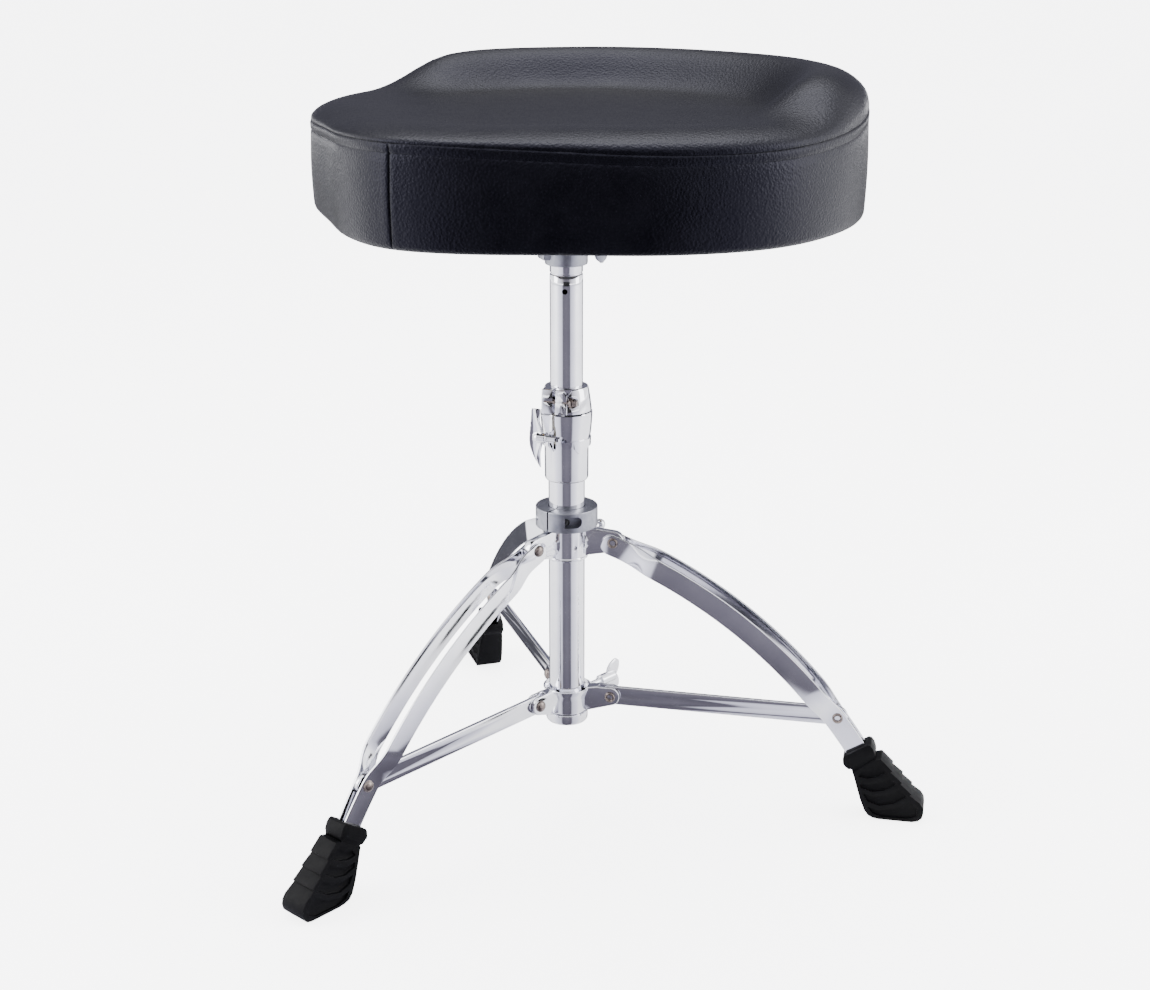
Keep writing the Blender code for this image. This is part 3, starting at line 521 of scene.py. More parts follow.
def plate(name, points, half):
    """A flat outline in XY, filled and thickened both ways along Z."""
    clear_selection()
    bpy.ops.mesh.primitive_circle_add(vertices=len(points), radius=1.0)
    made = named(name)
    for vert, (x, y) in zip(made.data.vertices, points):
        vert.co = Vector((x, y, -half)) * MM
    edit(made)
    bpy.ops.mesh.edge_face_add()
    bpy.ops.mesh.extrude_region_move()
    bpy.ops.transform.translate(value=(0, 0, 2 * half * MM))
    return facing_out(made)


def moved(made, matrix):
    """Move the mesh itself, so that the object stays untransformed."""
    made.data.transform(matrix)
    return made


def combine(made, other, operation):
    """One Boolean, applied at once; the other piece is dropped."""
    boolean = made.modifiers.new("shape", "BOOLEAN")
    boolean.operation = operation
    boolean.object = other
    apply_all(made)
    bpy.data.objects.remove(other, do_unlink=True)
    return made


def cut(made, tool, place=Matrix()):
    """Cut a tool, put in its place, out of a piece."""
    return combine(made, moved(tool, place), "DIFFERENCE")


def weld(made, other, place=Matrix()):
    """Join another solid, put in its place, to a piece."""
    return combine(made, moved(other, place), "UNION")


def rounded(made, width, segments=3, angle=32.0):
    """Round every edge sharper than an angle."""
    bevel = made.modifiers.new("edges", "BEVEL")
    bevel.width = width * MM
    bevel.segments = segments
    bevel.limit_method = "ANGLE"
    bevel.angle_limit = math.radians(angle)
    return apply_all(made)


def cast(made, smoothing):
    """Melt joined solids into one casting with small fillets."""
    remesh = made.modifiers.new("cast", "REMESH")
    remesh.mode = "VOXEL"
    remesh.voxel_size = 0.35 * MM
    soften = made.modifiers.new("fillets", "SMOOTH")
    soften.factor = 0.5
    soften.iterations = smoothing
    return apply_all(made)


def sheet(made, thickness, name):
    """Thicken a skin inwards."""
    thick = made.modifiers.new(name, "SOLIDIFY")
    thick.thickness = thickness * MM
    thick.offset = -1.0
    return apply_all(made)


def finish_piece(made, finish, body, slot, *nodes, angle=38.0):
    """Shade it, give it its finish, let it ride on its body and stand for its CAD nodes."""
    pick(made)
    bpy.ops.object.shade_smooth_by_angle(angle=math.radians(angle))
    made.data.materials.clear()
    made.data.materials.append(finish)
    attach(made, body)
    if nodes:
        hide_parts(*nodes)
    return made


def about_z(degrees):
    """A turn round +Z."""
    return Matrix.Rotation(math.radians(degrees), 4, "Z")


def about_x(degrees):
    """A turn round +X."""
    return Matrix.Rotation(math.radians(degrees), 4, "X")


def about_y(degrees):
    """A turn round +Y."""
    return Matrix.Rotation(math.radians(degrees), 4, "Y")


def at(x, y, z):
    """A shift in millimetres."""
    return Matrix.Translation(Vector((x, y, z)) * MM)


def on_axis(azimuth=0.0):
    """From the column's own frame, turned to an azimuth, into the world."""
    return Matrix.Translation(AXIS) @ about_z(azimuth)


def pointing(azimuth):
    """Turn local +Z to look outwards at an azimuth, with local +X pointing up."""
    return about_z(azimuth) @ about_y(90) @ about_z(180)


ACROSS = about_x(-90)          # local +Z along a leg frame's +Y
UPRIGHT = about_x(90)          # an outline's XY becomes radius and height


def facing(azimuth, distance, shift=0.0):
    """Stand an outline up at a distance, so that it faces outwards at an azimuth."""
    return about_z(azimuth) @ at(distance, shift, 0) @ about_z(90) @ UPRIGHT


def lerp(a, b, t):
    """From a (t = 0) to b (t = 1)."""
    return a + (b - a) * t


def polar(r, phi):
    """X and Y of a radius and an angle."""
    a = math.radians(phi)
    return r * math.cos(a), r * math.sin(a)


def arc_points(x, y, radius, start, stop, steps):
    """Points along an arc round (x, y)."""
    angles = [math.radians(start + (stop - start) * i / steps) for i in range(steps + 1)]
    return [(x + radius * math.cos(a), y + radius * math.sin(a)) for a in angles]


def between(table, place):
    """A table's reading at a place, straight between its rows and level past its ends."""
    rows = sorted(table)
    for (a, low), (b, high) in zip(rows, rows[1:]):
        if a <= place <= b:
            return low + (high - low) * (place - a) / (b - a)
    return rows[0][1] if place < rows[0][0] else rows[-1][1]


def smoothed(table, place, reach):
    """The table's reading averaged over a short reach, so that its corners turn softly."""
    return sum(between(table, place + reach * (k / 4.0)) for k in range(-4, 5)) / 9.0


def soft_step(low, high, value):
    """Rises smoothly from 0 to 1 between two values."""
    t = max(0.0, min(1.0, (value - low) / (high - low)))
    return t * t * (3 - 2 * t)


# ---------------------------------------------------------------- seat

SEAT_OUTLINE = ((0, 226), (30, 228), (60, 219), (80, 214), (100, 210), (120, 193), (130, 184), (140, 177.4),
                (150, 178.2), (160, 185), (180, 199))
SEAM_SIDES, FOAM_SIDES = 240, 120
BOTTOM_Z, FLAT_Z = 474.0, 549.5
RIM_WIDTH, RIM_FOOT = 35.0, 50.0            # seam to crest, crest to saddle
JOIN_PHI = 181.8                            # the band's sewn join, from the rear
SEAT_TURN = on_axis(SEAT_AZIMUTH)


def even_angles(count):
    """Angles all round."""
    return [360.0 * i / count for i in range(count)]


def from_rear(phi):
    """The same angle on the other side, 0 to 180 degrees from the rear."""
    return abs((phi + 180.0) % 360.0 - 180.0)


def seam_angles():
    """Even angles round the seat, closer together where the band's ends are sewn."""
    close = [JOIN_PHI + side * step for side in (-1, 1) for step in (0.08, 0.22, 0.36, 0.55, 0.85, 1.3, 1.9)]
    kept = [phi for phi in even_angles(SEAM_SIDES) if abs(phi - JOIN_PHI) > 2.4]
    return sorted(kept + close + [JOIN_PHI])


def seat_radius(phi):
    """The outline's radius at an angle from the rear, the same on both sides, drawn smooth."""
    phi = from_rear(phi)
    total = weights = 0.0
    for shift in range(-14, 15, 2):
        place = abs(phi + shift)
        weight = math.exp(-(shift / 8.0) ** 2)
        total += weight * between(SEAT_OUTLINE, 360.0 - place if place > 180.0 else place)
        weights += weight
    return total / weights


def seam_z(phi):
    """The seam's height: high round the rear, low at the sides and the nose."""
    a = math.radians(phi)
    return min(547.4 + 10.4 * math.cos(a) + 7.3 * math.cos(2 * a), 556.0)


# The crest's height against the angle from the rear: a high rim falling to the low front roll
CREST = ((-9, 578.6), (0, 578.8), (52, 578.6), (60, 578.2), (65, 577.3), (70, 575.4), (75, 569.6),
         (80, 561.0), (85, 554.8), (90, 552.4), (96, 552.0), (190, 552.0))


def crest_z(phi):
    """The top of the rim or roll at an angle from the rear."""
    return smoothed(CREST, from_rear(phi), 3.0)


def top_point(phi, k):
    """A point of the top panel: k runs from the seam (0) over the crest (1) to the saddle (2)."""
    radius, seam, crest = seat_radius(phi), seam_z(phi), crest_z(phi)
    if k <= 1.0:
        a = math.radians(90 * k)
        return radius - RIM_WIDTH + RIM_WIDTH * math.cos(a), seam + (crest - seam) * math.sin(a)
    fall = 0.5 - 0.5 * math.cos(math.pi * (k - 1.0))
    return radius - RIM_WIDTH - RIM_FOOT * (k - 1.0), crest + (FLAT_Z - crest) * fall


def wrinkle(x, y, phi):
    """Long lazy waves across the saddle, and short puckers round the seam."""
    lazy = noise.noise(Vector((x * 0.012, y * 0.012, 0.3))) * 0.9
    pucker = noise.noise(Vector((math.cos(math.radians(phi)) * 16, math.sin(math.radians(phi)) * 16, 5.0)))
    return lazy, pucker


def ring_sheet(name, rings):
    """Rings of points one inside another, drawn out of one circle."""
    clear_selection()
    sides = len(rings[0])
    bpy.ops.mesh.primitive_circle_add(vertices=sides, radius=1.0)
    made = named(name)
    bpy.ops.object.mode_set(mode="EDIT")
    for _ in rings[1:]:
        bpy.ops.mesh.extrude_edges_move()
    bpy.ops.object.mode_set(mode="OBJECT")
    for i, vert in enumerate(made.data.vertices):
        vert.co = Vector(rings[i // sides][i % sides]) * MM
    return made


def fill_ring(made, first, sides):
    """Close one ring of a sheet with a face."""
    edit(made)
    bpy.ops.mesh.select_mode(type="VERT")
    bpy.ops.mesh.select_all(action="DESELECT")
    bpy.ops.object.mode_set(mode="OBJECT")
    for i in range(sides):
        made.data.vertices[first + i].select = True
    bpy.ops.object.mode_set(mode="EDIT")
    bpy.ops.mesh.edge_face_add()
    bpy.ops.object.mode_set(mode="OBJECT")


def lofted(name, rings):
    """Closed rings of points joined one after another, with both ends filled."""
    made = ring_sheet(name, rings)
    sides = len(rings[0])
    for first in (0, (len(rings) - 1) * sides):
        fill_ring(made, first, sides)
    return facing_out(made)


def make_seat_top():
    """The top panel of vinyl, with its edge turned in at the seam."""
    angles = even_angles(SEAM_SIDES)
    rings = [[(*polar(seat_radius(phi) - inset, phi), seam_z(phi) - drop) for phi in angles]
             for inset, drop in ((2.6, 2.4), (1.2, 1.5))]
    for k in (0.0, 0.03, 0.07, 0.12, 0.19, 0.27, 0.36, 0.46, 0.56, 0.66, 0.76, 0.86, 0.94, 1.0, 1.1, 1.22,
              1.36, 1.5, 1.64, 1.78, 1.9, 2.0):
        ring = []
        near = math.exp(-((k - 0.05) / 0.22) ** 2)
        swell = 0.9 * math.sin(math.pi * k / 0.5) if k < 0.5 else 0.0
        for phi in angles:
            r, z = top_point(phi, k)
            lazy, pucker = wrinkle(*polar(r, phi), phi)
            ring.append((*polar(r + swell + 0.5 * pucker * near, phi), z + 0.5 * pucker * near + 0.6 * lazy))
        rings.append(ring)
    for share in (0.85, 0.7, 0.55, 0.4, 0.26, 0.14, 0.05):
        ring = []
        for phi in angles:
            x, y = polar((seat_radius(phi) - RIM_WIDTH - RIM_FOOT) * share, phi)
            ring.append((x, y, FLAT_Z - 0.7 * (1 - share) + 0.8 * wrinkle(x, y, phi)[0]))
        rings.append(ring)
    made = ring_sheet("seat_top_panel", rings)
    fill_ring(made, (len(rings) - 1) * SEAM_SIDES, SEAM_SIDES)
    sheet(facing_out(made), 1.1, "vinyl")
    finish_piece(moved(made, SEAT_TURN), VINYL, "seat", "vinyl", "seat_cover_top", angle=60)


def make_foam():
    """The moulded foam, just under the cover everywhere."""
    angles = even_angles(FOAM_SIDES)
    rings = [[(*polar(seat_radius(phi) - 6.0, phi), 488.0) for phi in angles],
             [(*polar(seat_radius(phi) - 3.2, phi), 490.0) for phi in angles],
             [(*polar(seat_radius(phi) - 3.2, phi), seam_z(phi) - 4.0) for phi in angles]]
    for k in [0.1 * i for i in range(1, 21)]:
        rings.append([(*polar(top_point(phi, k)[0] - 3.2, phi), top_point(phi, k)[1] - 3.4)
                      for phi in angles])
    for share in (0.7, 0.4, 0.05):
        rings.append([(*polar((seat_radius(phi) - RIM_WIDTH - RIM_FOOT - 3.2) * share, phi), FLAT_Z - 4.2)
                      for phi in angles])
    made = lofted("moulded_foam", rings)
    finish_piece(moved(made, SEAT_TURN), FOAM, "seat", "foam", "seat_foam", angle=60)


def band_point(phi, inset, z, share):
    """A point of the band, with faint upright draws and the sunk line where its ends are sewn together."""
    r = seat_radius(phi) - inset
    x, y = polar(r, phi)
    draw = noise.noise(Vector((x * 0.02, y * 0.02, z * 0.006))) * 0.8
    line = from_rear(phi - JOIN_PHI) * math.radians(1) * r
    sunk = -1.7 * math.exp(-(line / 0.75) ** 2) + 0.4 * math.exp(-((line - 3.6) / 2.4) ** 2)
    return (*polar(r + share * (draw * 0.45 + sunk), phi), z)


# The band's upper edge and its second row of stitches: inset, height from the seam, share of the draws
BAND_EDGE = ((2.4, -1.2, 0.0), (1.3, -0.8, 0.0), (0.5, -0.9, 0.0), (0.1, -1.8, 0.2), (0.2, -3.4, 0.6),
             (0.3, -5.4, 0.8), (0.7, -6.3, 0.6), (2.5, -7.0, 0.4), (0.7, -7.7, 0.6), (0.3, -8.6, 0.8))
# Its lower edge, turned under the board: inset and height
BAND_TURN = ((0.5, 477.6), (1.0, 476.0), (2.0, 474.9), (3.4, 474.25), (5.0, 474.05), (8.0, 474.0),
             (13.0, 474.0), (18.0, 474.1), (23.4, 474.2))


def make_seat_band():
    """The side band: closed by an upright join near the nose, turned under and stapled below."""
    angles = seam_angles()
    rings = [[band_point(phi, inset, seam_z(phi) + rise, share) for phi in angles]
             for inset, rise, share in BAND_EDGE]
    for t in (0.1, 0.2, 0.3, 0.4, 0.5, 0.6, 0.7, 0.8, 0.88, 0.94):
        inset = 0.4 - 0.9 * math.sin(math.pi * t)
        rings.append([band_point(phi, inset, lerp(seam_z(phi) - 9.0, BOTTOM_Z + 4.5, t), 1.0)
                      for phi in angles])
    rings += [[band_point(phi, inset, z, 0.3) for phi in angles] for inset, z in BAND_TURN]
    made = facing_out(sheet(ring_sheet("seat_side_band", rings), 1.0, "vinyl"))
    finish_piece(moved(made, SEAT_TURN), VINYL, "seat", "vinyl", "seat_cover_band", angle=60)


def make_stitches(name, phase, inset, drop):
    """One row of 330 stitches: short thread capsules laid along the seam and sunk at both ends."""
    count = 330
    clear_selection()
    bpy.ops.mesh.primitive_cylinder_add(vertices=6, radius=0.42 * MM, depth=1.0)
    one = moved(named(name), about_y(90))
    copies = []
    for i in range(count):
        phi = 360.0 * (i + phase) / count
        ends = [phi + side * 360.0 / count * 0.36 for side in (-1, 1)]
        a, b = [Vector((*polar(seat_radius(end) - inset, end), seam_z(end) - drop)) * MM for end in ends]
        turn = (b - a).normalized().to_track_quat("X", "Z").to_matrix().to_4x4()
        copy = one.copy()
        copy.data = one.data.copy()
        bpy.context.scene.collection.objects.link(copy)
        moved(copy, Matrix.Translation((a + b) / 2) @ turn @ Matrix.Diagonal(((b - a).length, 1, 1, 1)))
        copies.append(copy)
    bpy.data.objects.remove(one, do_unlink=True)
    finish_piece(moved(joined(copies, name), SEAT_TURN), THREAD, "seat", "vinyl")


def make_underside():
    """Dust cloth over the board's edge, and a ring of staples that hold the cover and the cloth."""
    angles = even_angles(FOAM_SIDES)
    rings = [[(*polar(seat_radius(phi) - inset, phi), z) for phi in angles]
             for inset, z in ((14.0, 473.75), (18.0, 473.6), (24.0, 474.1), (32.0, 474.6))]
    for share in (0.8, 0.62, 0.46):
        ring = []
        for phi in angles:
            x, y = polar(lerp(66.0, seat_radius(phi) - 34.0, (share - 0.46) / 0.54), phi)
            ring.append((x, y, 474.5 + 0.5 * noise.noise(Vector((x, y, 0.0)) * 0.03)))
        rings.append(ring)
    cloth = sheet(ring_sheet("dust_cloth", rings), 0.5, "cloth")
    finish_piece(moved(cloth, SEAT_TURN), CLOTH, "seat", "lining", "seat_lining", angle=60)
    staples = []
    for i in range(64):
        phi = 360.0 * i / 64 + 1.5 * noise.noise(Vector((i * 0.7, 0, 0)))
        inset = 16.2 + 1.6 * noise.noise(Vector((0, i * 0.9, 0)))
        tilt = about_z(phi + 90 + 14 * noise.noise(Vector((0, 0, i * 1.3))))
        one = box("staple", (-5.0, -0.3, -0.55), (5.0, 0.3, 0.35))
        staples.append(moved(one, SEAT_TURN @ at(*polar(seat_radius(phi) - inset, phi), 473.5) @ tilt))
    finish_piece(joined(staples, "staples"), RIVET, "seat", "zinc_steel")


def make_seat():
    """The cover, its two rows of stitches, the foam and what closes it below."""
    make_seat_top()
    make_seat_band()
    make_stitches("top_seam_stitches", 0.0, 0.1, 0.8)
    make_stitches("lower_row_stitches", 0.5, 1.8, 7.0)
    make_foam()
    make_underside()


# ---------------------------------------------------------------- column and hubs

def make_column():
    """The base tube, the post with its ring groove and stop hole, and the cap below."""
    tube = turned("base_tube_chromed",
                  [(TUBE_BORE, 294.6), (TUBE_R - 0.5, 295.0), (TUBE_R, 294.4), (TUBE_R, 62.4),
                   (TUBE_R - 0.4, 62.0), (TUBE_BORE, 62.0)], ROUND, closed=True)
    finish_piece(moved(tube, on_axis()), CHROME, "base", "chrome", "base_tube")
    bore, lip, groove = 10.7, POST_R - 0.15, POST_R - 0.55
    post = turned("seat_post_chromed",
                  [(bore, 465.6), (11.7, 466.0), (POST_R, 465.0), (POST_R, 428.6), (lip, 428.4),
                   (groove, 427.9), (groove, 427.1), (lip, 426.6), (POST_R, 426.4), (POST_R, 418.6),
                   (POST_R, 411.4), (POST_R, 160.4), (POST_R - 0.4, 160.0), (bore, 160.0), (bore, 411.0),
                   (bore, 419.0)], ROUND, closed=True)
    cut(post, rod("post_hole", 2.1, 5.0, 20.0), at(-1.2, 0, 415.0) @ pointing(-90))
    finish_piece(moved(post, on_axis()), CHROME, "post", "chrome", "seat_post")
    plug, step = TUBE_BORE - 0.4, TUBE_R + 0.6
    cap = turned("end_cap_chromed",
                 [(0.3, 76.0), (plug, 76.0), (plug, 61.6), (step, 61.6), (step, 67.1), (16.4, 67.2),
                  (16.85, 66.9), (17.0, 66.3), (17.0, 61.2), (16.7, 59.9), (16.0, 58.9), (14.8, 58.3),
                  (12.0, 58.2), (0.3, 58.2)], ROUND)
    finish_piece(moved(cap, on_axis()), CHROME, "base", "chrome", "end_cap")


def leg_frame(azimuth, r, z):
    """Into a leg's upright plane, at a radius and a height."""
    return on_axis(azimuth) @ at(r, 0, z)


def make_upper_hub():
    """The chromed barrel and its three lugs, with the fillets of a casting, and its domed bolt."""
    barrel = turned("upper_hub_casting",
                    [(14.6, 226.0), (15.9, 226.0), (16.3, 225.4), (16.3, 202.2), (16.7, 201.7), (16.9, 200.9),
                     (16.7, 200.0), (16.2, 199.5), (14.6, 199.3)], ROUND, closed=True)
    outline = [(14.9, 225.6), (14.9, 201.4), (17.6, 202.6), *arc_points(HINGE_R, HINGE_Z, 8.3, -68, 84, 16),
               (24.0, 224.8), (19.0, 225.4)]
    for azimuth in LEG_AZIMUTHS:
        lug = moved(plate("lug", outline, 3.1), about_z(azimuth) @ UPRIGHT)
        weld(barrel, rounded(lug, 0.6))
        flare = turned("flare", [(0.3, 0.0), (6.4, 0.0), (4.2, 1.2), (3.3, 2.8), (2.9, 5.2), (0.3, 5.2)], 32)
        place = at(0, 0, 213.0) @ pointing(azimuth) @ at(0, 0, 15.3)
        weld(barrel, flare, place @ Matrix.Diagonal((1.7, 1, 1, 1)))
    bolt_place = at(0, 0, UPPER_BOLT_Z) @ pointing(BOLT_AZIMUTH)
    boss = turned("boss", [(0.3, 15.0), (8.0, 15.0), (6.2, 17.2), (5.5, 19.4), (5.5, 23.4), (5.0, 24.0),
                           (0.3, 24.0)], 48)
    weld(barrel, boss, bolt_place)
    cut(barrel, rod("bore", 14.6, 190, 240, ROUND))
    cut(barrel, rod("peep", 1.9, 10, 22), at(0, 0, 211.0) @ pointing(-66))
    dent = turned("dent", [(0.3, 15.2), (1.4, 15.2), (1.9, 22.0), (0.3, 22.0)], 24)
    cut(barrel, dent, at(0, 0, 214.3) @ pointing(-33) @ Matrix.Diagonal((4.6, 0.8, 1, 1)))
    rounded(barrel, 0.25, 2, 40)
    finish_piece(moved(barrel, on_axis()), CHROME, "base", "chrome", "upper_hub", angle=30)
    bolt = turned("upper_hub_dome_bolt",
                  [(0.3, 15.0), (2.5, 15.0), (2.5, 37.6), (4.2, 37.6), (4.6, 38.2), (4.6, 39.6), (4.3, 41.0),
                   (3.5, 42.4), (2.2, 43.2), (0.3, 43.5)], 48)
    finish_piece(moved(bolt, on_axis() @ bolt_place), CHROME, "base", "chrome", "upper_hub_bolt")


def make_lower_hub():
    """The sliding barrel: funnel top, three slotted lugs with their rivets, and its wing screw's boss."""
    barrel = turned("lower_hub_casting",
                    [(17.7, 88.0), (18.4, 88.5), (19.1, 88.3), (19.2, 87.6), (17.6, 83.6), (16.6, 81.0),
                     (16.3, 79.0), (16.3, 69.0), (16.0, 68.1), (15.2, 67.7), (14.6, 67.7), (14.6, 80.5),
                     (15.6, 83.4)],
                    ROUND, closed=True)
    outline = [(15.2, 88.6), (15.2, 69.2), (18.0, 69.0), *arc_points(INNER_R, INNER_Z, 7.6, -80, 82, 16),
               (33.0, 90.0), (26.0, 90.2), (20.0, 89.4)]
    for azimuth in LEG_AZIMUTHS:
        lug = rounded(plate("lug", outline, 4.8), 0.7)
        cut(lug, box("slot", (27.0, 55.0, -2.1), (60.0, 100.0, 2.1)))
        weld(barrel, lug, about_z(azimuth) @ UPRIGHT)
    boss = turned("boss", [(0.3, 15.0), (8.2, 15.0), (6.7, 17.4), (6.0, 19.6), (6.0, 25.4), (5.5, 26.0),
                           (0.3, 26.0)], 48)
    screw_place = at(0, 0, LOWER_BOLT_Z) @ pointing(BOLT_AZIMUTH)
    weld(barrel, boss, screw_place)
    funnel = [(0.3, 60.0), (14.6, 60.0), (14.6, 80.5), (17.6, 88.6), (17.6, 95.0), (0.3, 95.0)]
    cut(barrel, turned("bore", funnel, ROUND))
    rounded(barrel, 0.3, 2, 40)
    finish_piece(moved(barrel, on_axis()), CHROME, "lower_hub", "chrome", "lower_hub", angle=30)
    for number, azimuth in enumerate(LEG_AZIMUTHS, 1):
        made = moved(rivet(f"inner_rivet_{number}", -5.2, 5.2), leg_frame(azimuth, INNER_R, INNER_Z) @ ACROSS)
        finish_piece(made, RIVET, "lower_hub", "zinc_steel", f"strut_{number}_inner_rivet")
    screw = wing("lower_wing_screw_cast", 14.0, 15.0, 56.0, 3.0, (4.5, 40.0, 58.0), (2.5, 14.6))
    moved(screw, on_axis() @ screw_place)
    finish_piece(screw, CHROME, "lower_wing", "chrome", "lower_wing_screw", angle=50)


def rivet(name, low, high, dome=True, roll=True):
    """A rivet along Z: a domed head at the top and a rolled tubular end at the bottom."""
    rings = [(0.3, low), (2.4, low)]
    if roll:
        rings = [(0.3, low + 1.4), (1.9, low + 1.2), (2.2, low + 0.6), (2.25, low - 0.6), (2.5, low - 1.4),
                 (3.0, low - 1.8), (3.6, low - 1.7), (4.0, low - 1.3), (4.2, low - 0.7), (4.0, low - 0.1),
                 (3.7, low), (2.4, low)]
    rings.append((2.4, high))
    if dome:
        rings += [(4.4, high), (4.55, high + 0.3)]
        rings += [(4.5 * math.sin(math.radians(a)), high + 0.3 + 2.7 * math.cos(math.radians(a)))
                  for a in (80, 68, 55, 42, 29, 16, 4)]
    else:
        rings.append((0.3, high))
    return turned(name, rings, 40)


def wing(name, reach, width, base, bow, hub, shank):
    """A cast wing screw along +Z: a bossed hub and two leaves along X, base high and bowed at their tips."""
    hub_r, low, high = hub
    shank_r, start = shank
    core = turned(name, [(0.3, start), (shank_r, start), (shank_r, low), (hub_r - 0.5, low),
                         (hub_r, low + 0.6), (hub_r, high - 1.6), (hub_r - 0.6, high - 0.6),
                         (hub_r * 0.6, high), (0.3, high)], 40)
    for side in (1, -1):
        rings = []
        for k in range(15):
            t = k / 14.0
            belly = 0.45 + 0.62 * math.sin(math.pi * (0.12 + 0.86 * t)) ** 0.8
            half = width * 0.5 * belly * (1 - 0.55 * soft_step(0.8, 1, t))
            deep = 1.5 * (1.35 - 0.6 * t) * (1 - 0.45 * soft_step(0.9, 1, t))
            middle = base + bow * t * t
            rings.append([(side * lerp(0.4, reach, t), deep * math.sin(math.radians(a)),
                           middle + half * math.cos(math.radians(a))) for a in range(0, 360, 20)])
        weld(core, lofted("leaf", rings))
    return cast(core, 5)


# ---------------------------------------------------------------- collar and clamps

def make_collar():
    """The satin stop collar with its slit and its milled pocket, and the threaded screw inside."""
    collar = turned("stop_collar_satin",
                    [(14.6, 242.3), (14.9, 242.6), (23.6, 242.6), (24.2, 242.4), (24.5, 241.9), (24.5, 227.0),
                     (24.2, 226.5), (23.7, 226.3), (14.9, 226.3), (14.6, 226.6)], 128, closed=True)
    turn = about_z(COLLAR_SLIT_AZIMUTH)
    cut(collar, box("slit", (10, -0.7, 220), (30, 0.7, 250)), turn)
    pocket = box("pocket", (0, -4.5, -4.5), (30, 4.5, 4.5))
    weld(pocket, rod("end", 4.5, 0.0, 30.0), at(0, 4.5, 0) @ about_y(90))
    cut(collar, pocket, about_z(-80.0) @ at(16.6, -1.0, 235.2))
    cut(collar, rod("exit", 2.3, 5.0, 40.0), turn @ at(19.5, 0, 234.4) @ UPRIGHT)
    rounded(collar, 0.25, 2, 40)
    finish_piece(moved(collar, on_axis()), SATIN, "base", "satin_casting", "stop_collar", angle=30)
    rings = [(0.3, -9.0), (1.8, -9.0)]
    for thread in range(26):
        rings += [(2.5, -8.6 + 0.9 * thread), (1.9, -8.15 + 0.9 * thread)]
    rings += [(2.3, 15.0), (0.3, 15.2)]
    screw = moved(turned("collar_socket_screw", rings, 40), on_axis() @ turn @ at(17.9, 0, 235.2) @ ACROSS)
    finish_piece(screw, OXIDE, "base", "black_screw", "stop_collar_screw", angle=30)


def clamp_body(name, profile, low, high, narrow):
    """A turned sleeve and its ear block; low and high are (height, face), narrow shrinks the ear's foot."""
    ear = box("ear", (2.0, EAR_LEFT, low[0]), (high[1], EAR_RIGHT, high[0]))
    for vert in ear.data.vertices:
        if vert.co.z < (low[0] + high[0]) / 2 * MM:
            if vert.co.x > 5 * MM:
                vert.co.x = low[1] * MM
            vert.co.y *= narrow
    rounded(ear, 0.9, 4, 20)
    return weld(turned(name, profile, ROUND), ear, about_z(EAR_AZIMUTH))


def cut_slit(body, low, high):
    """The slit through the ears."""
    slit = box("slit", (8, SLIT_AT - SLIT_WIDTH / 2, low), (40, SLIT_AT + SLIT_WIDTH / 2, high))
    cut(body, slit, about_z(EAR_AZIMUTH))


# The clamp's cast shell: its lower edge rises to a peak in front, seen from the ears
CHEVRON = ((-40, 294.0), (-9.5, 293.0), (-5.5, 295.6), (-2.6, 298.7), (-1.2, 299.3), (0.6, 298.6),
           (10.6, 287.9), (13.0, 287.6), (17.0, 292.8), (40, 294.0), (40, 270.0), (-40, 270.0))
WINDOW = ((-4.0, 296.5), (-1.6, 300.0), (-4.6, 303.6), (-1.8, 307.0), (-0.4, 312.0), (1.8, 311.0),
          (2.4, 305.5), (1.6, 300.6), (2.4, 296.0), (0.8, 291.6), (-1.2, 290.0))


def make_clamp():
    """The height clamp: a sleeve swelling into two ears, the slit and its ragged casting window."""
    body = clamp_body("height_clamp_casting",
                      [(0.3, 264.5), (15.3, 264.5), (16.2, 264.9), (16.9, 265.9), (17.2, 267.0),
                       (17.25, 292.0), (17.45, 294.0), (18.3, 298.0), (19.1, 303.0), (19.8, 310.0),
                       (20.15, 316.0), (20.2, 319.4), (19.8, 320.0), (0.3, 320.0)], (288.5, 15.6),
                      (319.9, EAR_FACE), 0.55)
    shell = turned("shell", [(16.6, 286.5), (18.0, 286.6), (18.7, 287.4), (19.0, 292.0), (19.2, 299.0),
                             (16.6, 300.5)],
                   ROUND, closed=True)
    cut(shell, plate("chevron", CHEVRON, 20.0), facing(-90, 20.0))
    cut(shell, box("rear", (-40, 0.0, 270.0), (40, 40.0, 294.0)))
    weld(body, shell)
    cut(body, rod("bore", 14.6, 255, 330, ROUND))
    cut_slit(body, 292, 330)
    bolt_place = about_z(EAR_AZIMUTH) @ at(*CLAMP_BOLT) @ UPRIGHT
    cut(body, rod("bolt_hole", 2.6, -10.0, 30.0), bolt_place)
    cut(body, plate("window", WINDOW, 6.0), facing(EAR_AZIMUTH, 21.6, SLIT_AT))
    rounded(body, 0.35, 3, 38)
    finish_piece(moved(body, on_axis()), CHROME, "base", "chrome", "height_clamp", angle=32)
    bush = turned("clamp_bush_nylon", [(12.95, 319.4), (14.2, 319.4), (14.3, 319.1), (14.3, 295.3),
                                       (13.0, 295.3)], 72,
                  closed=True)
    finish_piece(moved(bush, on_axis()), NYLON, "base", "nylon", "clamp_bush")
    make_height_wing(on_axis() @ bolt_place @ about_z(90))


